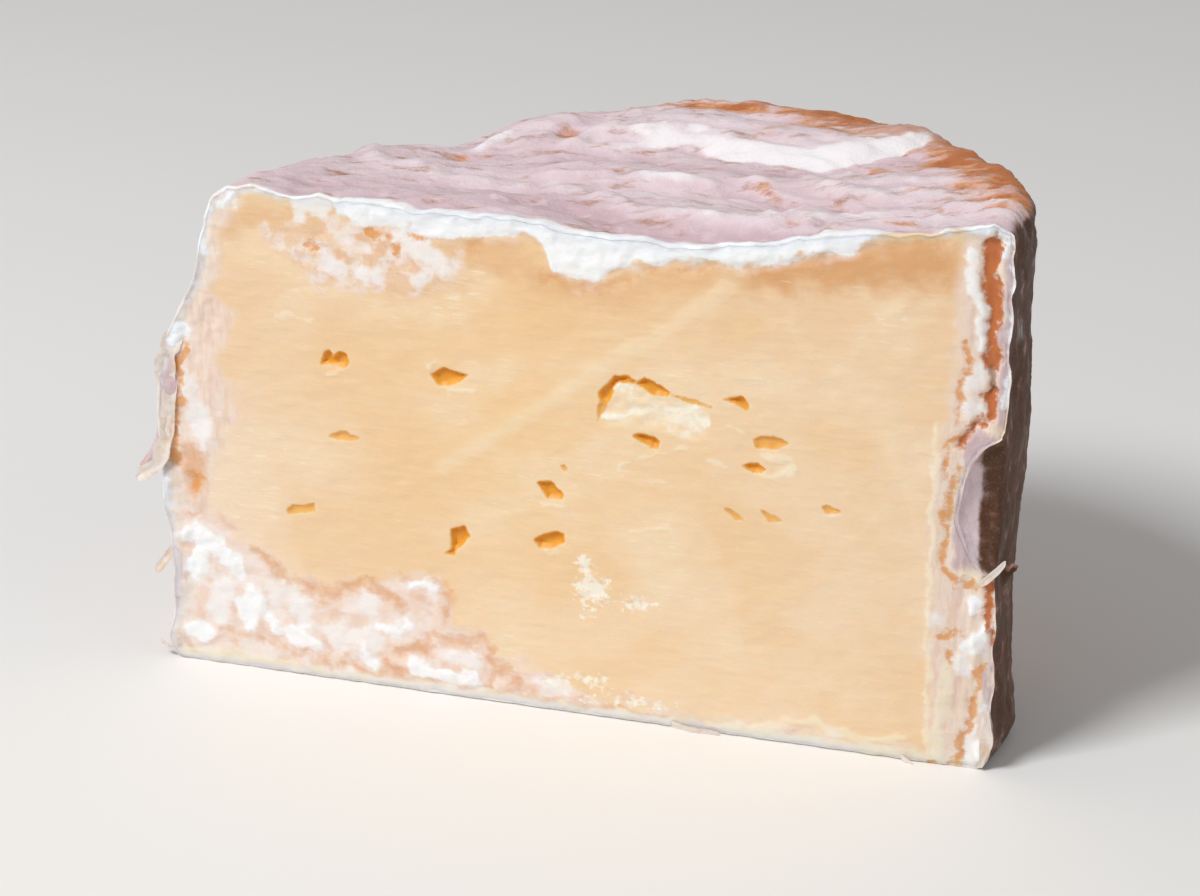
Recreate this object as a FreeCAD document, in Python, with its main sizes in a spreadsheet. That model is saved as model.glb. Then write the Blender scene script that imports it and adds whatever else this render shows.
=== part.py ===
"""Half of a small, tall, soft-ripened cheese wheel, cut straight through the middle.

The wheel has sagged on its left side, its top has sunk into a shallow rippled dish, and the
cut face shows small curd eyes, a torn pit, a dented right edge and loose tags of rind.

Working frame: the wheel's axis is Z, its base is at Z = 0, the cut face lies in the XZ plane
and faces -Y, and +X is to the right of someone looking at the cut face. The finished half is
placed with the middle of the foot of its bounding box at the origin. Sizes are millimetres.
"""
import FreeCAD
import Part
import math
import os

from FreeCAD import Placement, Rotation, Vector

NODE = "camembert_half"

# Driving sizes: alias, value, what it sets.
SIZES = (
    ("wheel_radius", 29.0, "radius at the right end of the cut"),
    ("wheel_height", 39.6, "highest part of the rim above the base"),
    ("side_swell", 1.2, "how far the right side stands out past that behind the cut"),
    ("slump_spread", 3.9, "how far the sagged left side stands out past wheel_radius"),
    ("slump_height", 22.0, "height up to which the sagged side stays full"),
    ("slump_fade", 12.0, "height over which the sag then dies away"),
    ("left_drop", 1.9, "how much lower the rim is at the left end of the cut"),
    ("base_round", 0.9, "rounding of the foot"),
    ("shoulder_left", 3.6, "rounding of the rim at the left end of the cut"),
    ("shoulder_right", 1.4, "rounding of the rim at the right end of the cut"),
    ("dish_depth", 3.0, "how far the middle of the top has sunk below the rim"),
    ("front_swell", 0.8, "rise of the top's front edge left of its middle"),
    ("ripple_height", 0.45, "half the rise of the mould's folds across the top"),
    ("ripple_pitch", 8.5, "distance between two folds"),
    ("side_wave", 0.3, "half the rise of the side's shallow waves"),
    ("back_sag", 1.35, "how far the rim has sunk round the back left"),
    ("notch_depth", 1.3, "depth of the sharper dip in that part of the rim"),
    ("fold_dip", 0.7, "depth of the dip where a fold crosses the rim at the back"),
    ("right_dip", 0.4, "depth of the shallow dip in the rim at the back right"),
    ("eye_depth", 1.0, "depth of the largest eyes behind the cut face"),
    ("dent_length", 11.0, "height of the dent in the right edge of the cut"),
    ("dent_width", 3.4, "how far the dent reaches in across the cut face"),
    ("dent_depth", 1.7, "how far the dent reaches back along the side"),
    ("rind_thickness", 1.0, "thickness of a loose tag of rind"),
)

# Eyes of the cut face: where the middle lies, as shares of wheel_radius across and of
# wheel_height up, then width and height, the turn in degrees, the share of eye_depth, and the
# latitude of the eye's floor: -90 leaves a full lens, near 0 gives an arch with a flat floor.
EYES = (
    (-0.667, 0.629, 1.3, 2.0, 6, 0.9, -8),
    (-0.632, 0.631, 1.2, 1.7, -6, 0.9, -8),
    (-0.362, 0.628, 2.4, 1.2, 12, 1.0, -90),
    (-0.325, 0.630, 1.4, 0.8, -8, 0.8, -90),
    (-0.634, 0.491, 2.2, 0.8, 0, 0.5, -8),
    (-0.762, 0.339, 2.2, 0.7, 12, 0.6, -90),
    (-0.338, 0.325, 1.4, 1.4, -10, 1.0, -90),
    (-0.366, 0.291, 0.6, 1.5, -35, 0.7, -90),
    (-0.118, 0.337, 1.8, 1.1, 20, 1.0, -90),
    (-0.083, 0.345, 1.3, 0.9, -5, 0.9, -90),
    (-0.114, 0.426, 1.9, 1.6, -6, 0.9, -15),
    (-0.079, 0.428, 1.1, 0.8, -25, 0.7, -90),
    (-0.066, 0.480, 0.5, 0.5, 0, 0.4, -90),
    (0.126, 0.554, 1.3, 0.9, -10, 0.9, -90),
    (0.160, 0.543, 1.2, 0.8, -22, 0.8, -90),
    (0.362, 0.634, 1.8, 1.4, -5, 0.8, -12),
    (0.448, 0.574, 2.5, 0.9, -3, 0.5, -90),
    (0.408, 0.520, 1.6, 1.0, 0, 0.9, -12),
    (0.364, 0.428, 1.4, 0.6, -20, 0.5, -90),
    (0.457, 0.434, 1.8, 1.0, -5, 0.5, -12),
    (0.597, 0.460, 1.2, 0.4, -5, 0.4, -90),
)

# The torn pit: a broad shallow hollow, a deeper arc at its left and a wedge at its right.
PIT = (
    (0.155, 0.621, 7.4, 3.2, -8, 0.55, -90),
    (0.052, 0.630, 1.7, 3.2, -24, 1.3, -90),
    (0.084, 0.660, 1.6, 0.9, 8, 1.0, -90),
    (0.190, 0.640, 3.6, 1.1, -14, 1.0, -90),
)

# Tags of rind, each along a line of stations: how far out from the skin, the height as a
# share of wheel_height, how far back from the cut, and the width there as a share of the
# widest. The end that is still joined is buried below the skin.
LEFT_TAG = ((-0.9, 0.675, 1.6, 0.8), (-0.3, 0.600, 1.6, 1.0), (0.1, 0.500, 1.6, 1.0),
            (0.8, 0.425, 1.5, 0.75), (2.6, 0.368, 1.3, 0.25))
FOOT_TAG = ((-0.8, 0.250, 1.2, 0.5), (0.3, 0.222, 1.1, 0.45), (1.6, 0.196, 1.0, 0.15))
SPUR_TAG = ((-0.9, 0.270, 3.2, 0.6), (-0.1, 0.310, 3.0, 0.6), (0.6, 0.345, 2.8, 0.4),
            (1.8, 0.372, 2.5, 0.15))
TAG_WIDTH = 2.6
TAG_BURIED = 0.35
TAG_FULLNESS = 0.8

# Where the dent's middle lies: how far past the side and in front of the cut, as a share of
# its own width and depth, and its share of wheel_height.
DENT_PAST = 0.15
DENT_LEVEL = 0.49

# How finely the skin is laid out.
AZIMUTH_STEPS = 28
AZIMUTH_OVERLAP = 16.0
SIDE_LEVELS = (0.08, 0.24, 0.40, 0.56, 0.72, 0.88)
SHOULDER_STEPS = 4
TOP_STEPS = 13
FAN_CENTRE_SHARE = 0.45
FAN_START = 0.12
FOOT_TURNS = (0.0, 40.0, 75.0)
FOOT_UNDERCUT = 0.1
TOUCH = 0.01

# Dips of the rim: the size that gives the depth, degrees round from the right end of the cut
# to the middle, and degrees from there to the slope.
RIM_DIPS = (
    ("right_dip", 50.0, 18.0),
    ("fold_dip", 105.0, 8.0),
    ("notch_depth", 128.0, 9.0),
    ("back_sag", 142.0, 28.0),
)

# Where the right side's swell begins behind the cut and where it has died away, in degrees.
SWELL_START = 8.0
SWELL_FADE = (80.0, 130.0)

# The front swell of the top, as shares of wheel_radius: its middle, and how far it reaches
# sideways and back.
FRONT_SWELL_MIDDLE = -0.26
FRONT_SWELL_REACH = 0.24
FRONT_SWELL_BACK = 0.15

# How the skin is uneven.
SIDE_WAVES_ROUND = 7.0
SIDE_WAVES_UP = 1.6
SIDE_WAVES_TO = 0.6
SIDE_WAVES_FADE = 0.3
FOLD_BEND = 0.012
FOLD_REACH = 0.5
FIRST_VALLEY = 1.0
BELOW_BASE = 1.5
CLEARANCE = 6.0


def fill_sheet(document):
    """Put every driving size in a spreadsheet cell that has its name as alias."""
    sheet = document.addObject("Spreadsheet::Sheet", "Sizes")
    for row, (alias, value, meaning) in enumerate(SIZES, start=1):
        sheet.set(f"A{row}", alias)
        sheet.set(f"B{row}", str(value))
        sheet.setAlias(f"B{row}", alias)
        sheet.set(f"C{row}", meaning)
    document.recompute()
    return sheet


def smooth_step(share):
    """Rise from 0 to 1 with level ends while share goes from 0 to 1."""
    share = min(max(share, 0.0), 1.0)
    return share * share * (3.0 - 2.0 * share)


class Skin:
    """The outer form of the wheel, worked out from the sheet's sizes."""

    def __init__(self, sheet):
        self.size = {alias: sheet.get(alias) for alias, _, _ in SIZES}

    def leftness(self, azimuth):
        """0 at the right end of the cut, 1 at the left end."""
        return (1.0 - math.cos(azimuth)) / 2.0

    def shoulder(self, azimuth):
        size = self.size
        spread = size["shoulder_left"] - size["shoulder_right"]
        return size["shoulder_right"] + spread * self.leftness(azimuth) ** 2

    def crest(self, azimuth):
        """Height of the rim, lower towards the left and with its dips."""
        size = self.size
        height = size["wheel_height"] - size["left_drop"] * self.leftness(azimuth)
        for alias, middle, width in RIM_DIPS:
            off = (math.degrees(azimuth) - middle) / width
            height -= size[alias] * math.exp(-off * off)
        return height

    def swell(self, azimuth):
        """How far the side stands out past wheel_radius round the right and the back."""
        start, end = SWELL_FADE
        degrees = math.degrees(azimuth)
        gone = smooth_step((degrees - start) / (end - start))
        begun = 1.0 - math.exp(-(degrees / SWELL_START) ** 2)
        return self.size["side_swell"] * begun * (1.0 - gone)

    def side_radius(self, azimuth, height):
        """Distance from the axis to the side, before the foot and shoulder are rounded."""
        size = self.size
        sag = 1.0 - smooth_step((height - size["slump_height"]) / size["slump_fade"])
        spread = size["slump_spread"] * self.leftness(azimuth) ** 2 * sag
        up = height / size["wheel_height"]
        wave = math.sin(SIDE_WAVES_ROUND * azimuth + 2.0 * math.pi * SIDE_WAVES_UP * up)
        fade = 1.0 - smooth_step((up - SIDE_WAVES_TO) / SIDE_WAVES_FADE)
        uneven = size["side_wave"] * wave * fade
        return size["wheel_radius"] + self.swell(azimuth) + spread + uneven

    def rim_radius(self, azimuth):
        """Distance from the axis to the inner edge of the rounded shoulder."""
        return self.side_radius(azimuth, self.crest(azimuth)) - self.shoulder(azimuth)

    def top_height(self, across, back):
        """Height of the sunk, folded top."""
        size = self.size
        azimuth = math.atan2(back, across)
        azimuth = azimuth if azimuth > -math.pi / 2.0 else azimuth + 2.0 * math.pi
        share = math.hypot(across, back) / self.rim_radius(azimuth)
        middle = size["wheel_height"] - size["dish_depth"]
        line = back + FOLD_BEND * across * across - FIRST_VALLEY
        fold = -math.cos(2.0 * math.pi * line / size["ripple_pitch"])
        fade = 1.0 - smooth_step((share - FOLD_REACH) / (1.0 - FOLD_REACH))
        dish = middle + (self.crest(azimuth) - middle) * share ** 2
        sideways = (across / size["wheel_radius"] - FRONT_SWELL_MIDDLE) / FRONT_SWELL_REACH
        backward = back / size["wheel_radius"] / FRONT_SWELL_BACK
        rise = size["front_swell"] * math.exp(-sideways ** 2 - backward ** 2)
        return dish + size["ripple_height"] * fold * fade + rise * fade

    def point(self, radius, azimuth, height):
        return Vector(radius * math.cos(azimuth), radius * math.sin(azimuth), height)

    def line_up(self, azimuth):
        """One line of the skin, from below the foot, over the shoulder, to the fan's centre."""
        size = self.size
        crest = self.crest(azimuth)
        shoulder = self.shoulder(azimuth)
        foot = size["base_round"]
        inset = self.side_radius(azimuth, 0.0) - foot
        line = [self.point(inset - FOOT_UNDERCUT * foot, azimuth, -BELOW_BASE)]
        for turn in FOOT_TURNS:
            angle = math.radians(turn)
            out = inset + foot * math.sin(angle)
            line.append(self.point(out, azimuth, foot * (1.0 - math.cos(angle))))
        for level in SIDE_LEVELS:
            height = foot + level * (crest - shoulder - foot)
            line.append(self.point(self.side_radius(azimuth, height), azimuth, height))
        rim = self.rim_radius(azimuth)
        for step in range(SHOULDER_STEPS + 1):
            angle = math.radians(90.0 * step / SHOULDER_STEPS)
            height = crest - shoulder * (1.0 - math.sin(angle))
            line.append(self.point(rim + shoulder * math.cos(angle), azimuth, height))
        edge = self.point(rim, azimuth, 0.0)
        centre = Vector(0.0, -FAN_CENTRE_SHARE * size["wheel_radius"], 0.0)
        for step in range(1, TOP_STEPS + 1):
            share = 1.0 - (1.0 - FAN_START) * step / TOP_STEPS
            flat = centre + (edge - centre) * share
            flat.z = self.top_height(flat.x, flat.y)
            line.append(flat)
        return line

    def face(self):
        """The skin as one smooth surface that runs past both ends of the cut."""
        reach = 180.0 + 2.0 * AZIMUTH_OVERLAP
        lines = []
        for step in range(AZIMUTH_STEPS + 1):
            azimuth = math.radians(reach * step / AZIMUTH_STEPS - AZIMUTH_OVERLAP)
            lines.append(self.line_up(azimuth))
        surface = Part.BSplineSurface()
        surface.interpolate(lines)
        return surface.toShape()


def add_half_wheel(document, skin):
    """A block with its front face in the plane of the cut, split by the skin."""
    block = document.addObject("Part::Box", "Block")
    reach = f"(Sizes.wheel_radius + Sizes.side_swell + Sizes.slump_spread + {CLEARANCE})"
    block.setExpression("Length", f"2 * {reach}")
    block.setExpression("Width", reach)
    block.setExpression("Height", f"Sizes.wheel_height + {CLEARANCE}")
    block.setExpression("Placement.Base.x", "-Length / 2")
    document.recompute()
    core = Vector(0.0, skin.size["wheel_radius"] / 2.0, skin.size["wheel_height"] / 2.0)
    pieces = block.Shape.generalFuse([skin.face()])[0].Solids
    half = document.addObject("Part::Feature", "HalfWheel")
    half.Shape = next(piece for piece in pieces if piece.isInside(core, TOUCH, False))
    return half


def add_hollow(document, name, across, up, width, height, turn, depth_share, floor):
    """An upright ellipsoid centred in the cut face, cut off at its floor, then turned."""
    hollow = document.addObject("Part::Ellipsoid", name)
    hollow.Radius1 = height / 2.0
    hollow.setExpression("Radius2", f"Sizes.eye_depth * {depth_share}")
    hollow.Radius3 = width / 2.0
    hollow.Angle1 = floor
    in_face = Rotation(Vector(0, 1, 0), -turn)
    seam_in_front = Rotation(Vector(0, 0, 1), -90.0)
    hollow.Placement = Placement(Vector(), in_face * seam_in_front)
    hollow.setExpression("Placement.Base.x", f"Sizes.wheel_radius * {across}")
    hollow.setExpression("Placement.Base.z", f"Sizes.wheel_height * {up}")
    return hollow


def add_dent(document):
    """The long hollow where the right edge of the cut was pressed in."""
    dent = document.addObject("Part::Ellipsoid", "Dent")
    dent.setExpression("Radius1", "Sizes.dent_length / 2")
    dent.setExpression("Radius2", "Sizes.dent_width")
    dent.setExpression("Radius3", "Sizes.dent_depth")
    dent.setExpression("Placement.Base.x", f"Sizes.wheel_radius + {DENT_PAST} * Sizes.dent_width")
    dent.setExpression("Placement.Base.y", f"-{DENT_PAST} * Sizes.dent_depth")
    dent.setExpression("Placement.Base.z", f"{DENT_LEVEL} * Sizes.wheel_height")
    return dent


def add_tag(document, skin, name, stations, side):
    """A loose tag of rind, lofted through flat ovals; side is -1 at the left, 1 at the right."""
    size = skin.size
    azimuth = math.pi if side < 0 else 0.0
    sections = []
    centres = []
    for out, level, back, _ in stations:
        height = level * size["wheel_height"]
        radius = skin.side_radius(azimuth, height) - TAG_BURIED + out
        centres.append(Vector(side * radius, back, height))
    for index, (centre, station) in enumerate(zip(centres, stations)):
        ahead = centres[min(index + 1, len(centres) - 1)]
        behind = centres[max(index - 1, 0)]
        along = (ahead - behind).normalize()
        oval = document.addObject("Part::Ellipse", f"{name}Oval{index + 1}")
        half_width = TAG_WIDTH * station[3] / 2.0
        oval.MajorRadius = half_width
        oval.MinorRadius = min(size["rind_thickness"] / 2.0, TAG_FULLNESS * half_width)
        oval.Placement = Placement(centre, Rotation(Vector(0, 1, 0), Vector(), along, "ZXY"))
        sections.append(oval)
    tag = document.addObject("Part::Loft", name)
    tag.Sections = sections
    tag.Solid = True
    return tag


def add_join(document, kind, name, pieces):
    join = document.addObject(kind, name)
    join.Shapes = pieces
    return join


def build(document):
    """Model the half wheel and return the finished object."""
    skin = Skin(fill_sheet(document))
    half = add_half_wheel(document, skin)

    hollows = [add_hollow(document, f"Eye{number}", *eye)
               for number, eye in enumerate(EYES, start=1)]
    hollows += [add_hollow(document, f"Pit{number}", *pit)
                for number, pit in enumerate(PIT, start=1)]
    hollows.append(add_dent(document))
    hollow = add_join(document, "Part::MultiFuse", "Hollows", hollows)

    cut = document.addObject("Part::Cut", "CutFace")
    cut.Base = half
    cut.Tool = hollow

    tags = [add_tag(document, skin, "LeftTag", LEFT_TAG, -1),
            add_tag(document, skin, "FootTag", FOOT_TAG, -1),
            add_tag(document, skin, "SpurTag", SPUR_TAG, 1)]
    finished = add_join(document, "Part::MultiFuse", "Cheese", [cut] + tags)
    finished.Label = NODE
    document.recompute()

    box = finished.Shape.optimalBoundingBox(False, False)
    finished.Placement = Placement(Vector(-box.Center.x, -box.Center.y, -box.ZMin), Rotation())
    document.recompute()
    return finished


def check(document, finished):
    """Stop unless every object was computed and the result is one valid solid."""
    for item in document.Objects:
        if {"Invalid", "Error"} & set(item.State):
            raise RuntimeError(f"{item.Name} was not computed: {item.State}")
        shape = getattr(item, "Shape", None)
        if shape is not None and (shape.isNull() or not shape.isValid()):
            raise RuntimeError(f"{item.Name} has no valid shape")
    if len(finished.Shape.Solids) != 1:
        raise RuntimeError(f"{finished.Label} is {len(finished.Shape.Solids)} solids, not one")


def main():
    document = FreeCAD.newDocument("CamembertHalf")
    finished = build(document)
    check(document, finished)
    os.makedirs("parts", exist_ok=True)
    finished.Shape.exportStep(f"parts/{NODE}.step")
    box = finished.Shape.optimalBoundingBox(False, False)
    print(f"{NODE}: {box.XLength:.2f} x {box.YLength:.2f} x {box.ZLength:.2f} mm, "
          f"{finished.Shape.Volume / 1000.0:.2f} cm3, {len(finished.Shape.Faces)} faces")


main()
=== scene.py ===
# %% [markdown]
# # Half a camembert, cut through the middle
#
# A small, tall camembert that has ripened, sagged on its left side and been cut in two. What
# shows is the soft yellow paste of the cut with its curd eyes and chalky mould, and round it
# the bloomy rind: white mould over an orange-brown skin, folded across the sunken top.
#
# Two main pieces are made here. The rind is a closed body with a shallow tray in its
# front, and the paste is a slab that fills the tray, so each has its own finish and the
# ragged edge where the knife went through the rind is real geometry. Loose flaps and threads
# of rind follow.

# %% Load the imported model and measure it
import math

import bmesh
import bpy
import numpy as np
from mathutils import Matrix, Vector, noise


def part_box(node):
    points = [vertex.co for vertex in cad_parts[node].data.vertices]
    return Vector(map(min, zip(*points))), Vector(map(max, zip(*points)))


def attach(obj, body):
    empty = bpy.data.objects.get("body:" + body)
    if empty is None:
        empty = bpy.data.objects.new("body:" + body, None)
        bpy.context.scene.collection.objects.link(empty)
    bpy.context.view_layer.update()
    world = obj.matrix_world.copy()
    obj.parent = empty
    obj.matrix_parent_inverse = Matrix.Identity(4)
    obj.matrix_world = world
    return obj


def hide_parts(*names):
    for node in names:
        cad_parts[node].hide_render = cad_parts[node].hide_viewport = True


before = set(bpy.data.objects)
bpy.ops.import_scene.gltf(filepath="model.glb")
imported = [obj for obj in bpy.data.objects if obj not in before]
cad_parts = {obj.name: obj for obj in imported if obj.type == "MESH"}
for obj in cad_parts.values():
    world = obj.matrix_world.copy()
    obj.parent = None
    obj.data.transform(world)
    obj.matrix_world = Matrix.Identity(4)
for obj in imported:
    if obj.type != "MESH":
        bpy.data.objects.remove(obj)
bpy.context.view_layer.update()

MM = 0.001
TOUCHING = 0.01 * MM
NODE = "camembert_half"
BODY = "root"
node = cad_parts[NODE]
low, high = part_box(NODE)
print("box in mm:", [round(side / MM, 2) for side in high - low])

# %% [markdown]
# ## Where things are on the wheel
#
# It is easier to think in the wheel's own millimetres than in metres from the middle of the
# box: *across* from the wheel's axis, *back* from the cut and *up* from the base. The axis is
# found from the foot, the flat that the cheese stands on: where the cut meets it at the
# right, it ends one foot rounding inside the wheel's radius.

# %% The wheel's own millimetres
WHEEL_RADIUS = 29.0
FOOT_ROUND = 0.9

foot = [corner.co for corner in node.data.vertices
        if corner.co.z < TOUCHING and corner.co.y < low.y + TOUCHING]
axis_x = max(corner.x for corner in foot) - (WHEEL_RADIUS - FOOT_ROUND) * MM
ORIGIN = np.array((axis_x, low.y, 0.0))
WHEEL_HEIGHT = (high.z - low.z) / MM


def in_mm(points):
    """Metres in the frame to across, back and up in millimetres."""
    return (np.asarray(points, float) - ORIGIN) / MM


def in_m(points):
    """Across, back and up in millimetres to metres in the frame."""
    return np.asarray(points, float) * MM + ORIGIN


def mesh_points(mesh):
    flat = np.empty(len(mesh.vertices) * 3)
    mesh.vertices.foreach_get("co", flat)
    return in_mm(flat.reshape(-1, 3))


def set_points(mesh, points):
    mesh.vertices.foreach_set("co", in_m(points).ravel())
    mesh.update()


def mesh_normals(mesh):
    flat = np.empty(len(mesh.vertices) * 3)
    mesh.vertex_normals.foreach_get("vector", flat)
    return flat.reshape(-1, 3)


print("axis at x =", round(axis_x / MM, 2), "mm, height", round(WHEEL_HEIGHT, 2), "mm")

# %% [markdown]
# ## Helpers for uneven, grown things
#
# Nothing on a cheese is straight, so most shapes and colours here are a simple rule plus
# noise. `lumps` gives smooth noise whose lumps have a real size in millimetres, and may be
# longer one way than another, as folds are. The others turn distances into soft steps.

# %% Noise, steps and distances
def lumps(points, size, octaves=3, seed=0):
    """Smooth noise of about -1 to 1; size is a lump's length in mm, one number or three."""
    scaled = points / np.asarray(size, float) + 17.3 * seed
    return np.array([noise.fractal(p, 1.0, 2.0, octaves) for p in scaled.tolist()])


def rise(value, start, end):
    """0 below start, 1 above end, and a soft step between."""
    share = np.clip((value - start) / (end - start), 0.0, 1.0)
    return share * share * (3.0 - 2.0 * share)


def along(place, stations):
    """Where a line given by (place, value) stations runs, at each place."""
    line = np.array(stations)
    return np.interp(place, line[:, 0], line[:, 1])


def to_path(across, up, path):
    """Distance in mm to a line through the given (across, up) stations."""
    nearest = np.full(np.shape(across), 1e3)
    for (x0, z0), (x1, z1) in zip(path, path[1:]):
        run = max((x1 - x0) ** 2 + (z1 - z0) ** 2, 1e-9)
        share = np.clip(((across - x0) * (x1 - x0) + (up - z0) * (z1 - z0)) / run, 0.0, 1.0)
        gap = np.hypot(across - x0 - share * (x1 - x0), up - z0 - share * (z1 - z0))
        nearest = np.minimum(nearest, gap)
    return nearest


def on_face(across, up):
    """Points of the cut's plane in mm, as the noise takes them."""
    return np.stack([across, np.zeros_like(across), up], axis=1)


def in_oval(across, up, oval):
    """Millimetres inside an oval (across, up, half width, half height, turn); minus outside."""
    x0, z0, wide, tall, turn = oval
    cosine, sine = math.cos(math.radians(turn)), math.sin(math.radians(turn))
    right = (across - x0) * cosine + (up - z0) * sine
    over = (up - z0) * cosine - (across - x0) * sine
    return (1.0 - np.hypot(right / wide, over / tall)) * min(wide, tall)


def in_outline(across, up, corners):
    """Millimetres inside a closed outline of (across, up) corners; minus outside."""
    closed = tuple(corners) + (corners[0],)
    inside = np.zeros(np.shape(across), bool)
    for (x0, z0), (x1, z1) in zip(closed, closed[1:]):
        if z0 != z1:
            crossing = x0 + (up - z0) * (x1 - x0) / (z1 - z0)
            inside ^= ((z0 > up) != (z1 > up)) & (across < crossing)
    gap = to_path(across, up, closed)
    return np.where(inside, gap, -gap)


def brushed(across, up, strokes):
    """Millimetres inside soft brush strokes, each a half width and the path it takes."""
    return np.max([half - to_path(across, up, path) for half, path in strokes], axis=0)


# %% [markdown]
# ## The skin
#
# A bloomy rind grows over the whole wheel. The CAD part has the right form, but its mesh is
# made of long triangles that can't carry folds. So a copy is merged, its cut is pulled a
# little forwards, and a voxel remesh gives it even faces. `bisect_plane` then makes a new
# clean cut where the old one was. Remeshing before cutting keeps the edge of the cut crisp.

# %% Even faces for the skin
VOXEL = 0.31
PULLED_FORWARD = 2.0
MERGE = 0.001 * MM
EDGE_ROUND = 0.1

skin = bmesh.new()
skin.from_mesh(node.data)
bmesh.ops.remove_doubles(skin, verts=skin.verts, dist=MERGE)
cut_verts = [v for v in skin.verts if v.co.y < low.y + TOUCHING]
bmesh.ops.translate(skin, verts=cut_verts, vec=(0, -PULLED_FORWARD * MM, 0))
skin_mesh = bpy.data.meshes.new("rind")
skin.to_mesh(skin_mesh)
skin.free()


def link(name, mesh):
    piece = bpy.data.objects.new(name, mesh)
    bpy.context.scene.collection.objects.link(piece)
    return piece


def apply_modifiers(piece):
    """Replace a piece's mesh by what its modifiers make of it."""
    depsgraph = bpy.context.evaluated_depsgraph_get()
    finished = bpy.data.meshes.new_from_object(piece.evaluated_get(depsgraph))
    piece.modifiers.clear()
    piece.data = finished
    return finished


rind = link("rind", skin_mesh)
remesh = rind.modifiers.new("even faces", "REMESH")
remesh.mode = "VOXEL"
remesh.voxel_size = VOXEL * MM
skin_mesh = apply_modifiers(rind)
print("remeshed skin:", len(skin_mesh.polygons), "faces")

# %% A clean cut through the even skin
skin = bmesh.new()
skin.from_mesh(skin_mesh)
bmesh.ops.smooth_vert(skin, verts=skin.verts, factor=0.5, use_axis_x=True, use_axis_y=True,
                      use_axis_z=True)
everything = skin.verts[:] + skin.edges[:] + skin.faces[:]
bmesh.ops.bisect_plane(skin, geom=everything, plane_co=(0, low.y + EDGE_ROUND * MM, 0),
                       plane_no=(0, -1, 0), clear_outer=True)


def largest_part(mesh):
    """The faces of the largest connected part."""
    waiting = set(mesh.faces)
    best = []
    while waiting:
        part = [waiting.pop()]
        for face in part:
            for edge in face.edges:
                for other in edge.link_faces:
                    if other in waiting:
                        waiting.remove(other)
                        part.append(other)
        best = part if len(part) > len(best) else best
    return best


kept = set(largest_part(skin))
bmesh.ops.delete(skin, geom=[f for f in skin.faces if f not in kept], context="FACES")
skin.to_mesh(skin_mesh)
skin.free()
print("skin without its cut:", len(skin_mesh.polygons), "faces")

# %% [markdown]
# ## Folds, wrinkles and a lumpy rim
#
# White mould grows as a felt over the skin. As the cheese dries, the sunken top gathers into
# long soft folds that run together at the right front corner, and behind a crisp crease the
# skin climbs in a bright slope. The side has short upright wrinkles. The main folds are given
# as lines over the top, and noise adds the small ones between them. Every point
# moves along its own normal, and the flat under the cheese stays flat.

# %% Lines over the top, as (across, back) places
CREASE = ((-9.0, 15.0), (-2.1, 18.6), (1.7, 19.2), (4.5, 17.0), (8.0, 16.5), (12.5, 15.6),
          (15.3, 16.6), (17.6, 18.2), (20.0, 20.4))
RIDGES = (((13.5, 4.1), (16.0, 4.2), (18.5, 5.2), (21.5, 5.4), (25.9, 4.8), (28.2, 5.0)),
          ((16.2, 0.9), (18.9, 2.6), (21.3, 2.4), (24.4, 2.8), (28.4, 2.4)),
          ((-4.7, 9.6), (0.7, 5.6), (5.2, 4.1), (10.7, 3.1), (14.5, 3.2)),
          ((-6.0, 12.4), (1.5, 12.2), (5.0, 11.4)), ((0.0, 9.6), (5.0, 7.7), (8.6, 8.8)),
          ((-14.2, 19.0), (-12.5, 21.5), (-8.8, 23.8)), ((-7.4, 18.6), (-5.3, 21.3), (-4.4, 25.5)),
          ((8.6, 11.8), (11.4, 9.7), (14.7, 6.9)),
          ((12.4, 12.2), (16.5, 9.2), (21.5, 8.2), (27.0, 7.4)),
          ((-22.0, 15.0), (-19.8, 11.4), (-14.0, 9.6), (-8.0, 10.0)),
          ((14.0, 14.0), (19.0, 12.0), (25.0, 11.0)))
VALLEYS = (((-8.0, 14.6), (-1.7, 17.4), (2.6, 14.2), (9.9, 14.8), (14.0, 14.9)),
           ((-6.1, 4.2), (-1.8, 3.6), (1.2, 2.3), (5.8, 1.5), (12.0, 1.3)),
           ((-22.0, 4.0), (-12.6, 6.4), (-6.0, 6.9), (0.0, 8.0)),
           ((6.0, 10.0), (9.8, 10.6), (12.6, 8.4)),
           ((16.0, 1.9), (19.4, 3.8), (23.0, 3.9), (27.0, 3.7)))
DIMPLES = ((-8.4, 21.2, 1.3, 1.0, 30), (13.7, 2.6, 0.8, 0.6, 0), (-15.4, 15.8, 1.4, 0.8, 20))

# %% Move the skin's points along their normals
FOLD_MEAN, CREPE_MEAN = 0.45, 0.4
SMALL_LENGTH, SMALL_PITCH, SMALL_RISE = 8.0, 2.1, 0.27
CREPE_LENGTH, CREPE_PITCH, CREPE_RISE = 3.0, 0.95, 0.11
SIDE_ROUND, SIDE_UP, SIDE_RISE = 3.2, 7.0, 0.24
FELT_SIZE, FELT_RISE = 1.3, 0.08
RIDGE_RISE, RIDGE_WIDTH = 0.42, 0.85
VALLEY_DEPTH, VALLEY_WIDTH = 0.4, 0.9
SLOPE_RISE, SLOPE_RUN = 0.75, 2.4
RIM_RISE, RIM_WIDTH = 0.32, 1.8
FOLD_SAG = 0.012
FOOT_FREE = (0.1, 1.6)

points = mesh_points(skin_mesh)
normals = mesh_normals(skin_mesh)
across, back, up = points.T
angle = np.arctan2(np.maximum(back, 0.0), across)
round_the_side = angle * WHEEL_RADIUS
topness = rise(normals[:, 2], 0.35, 0.9)
underside = rise(-normals[:, 2], 0.3, 0.8)
off_the_base = rise(up, *FOOT_FREE) * (1.0 - underside)

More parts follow.
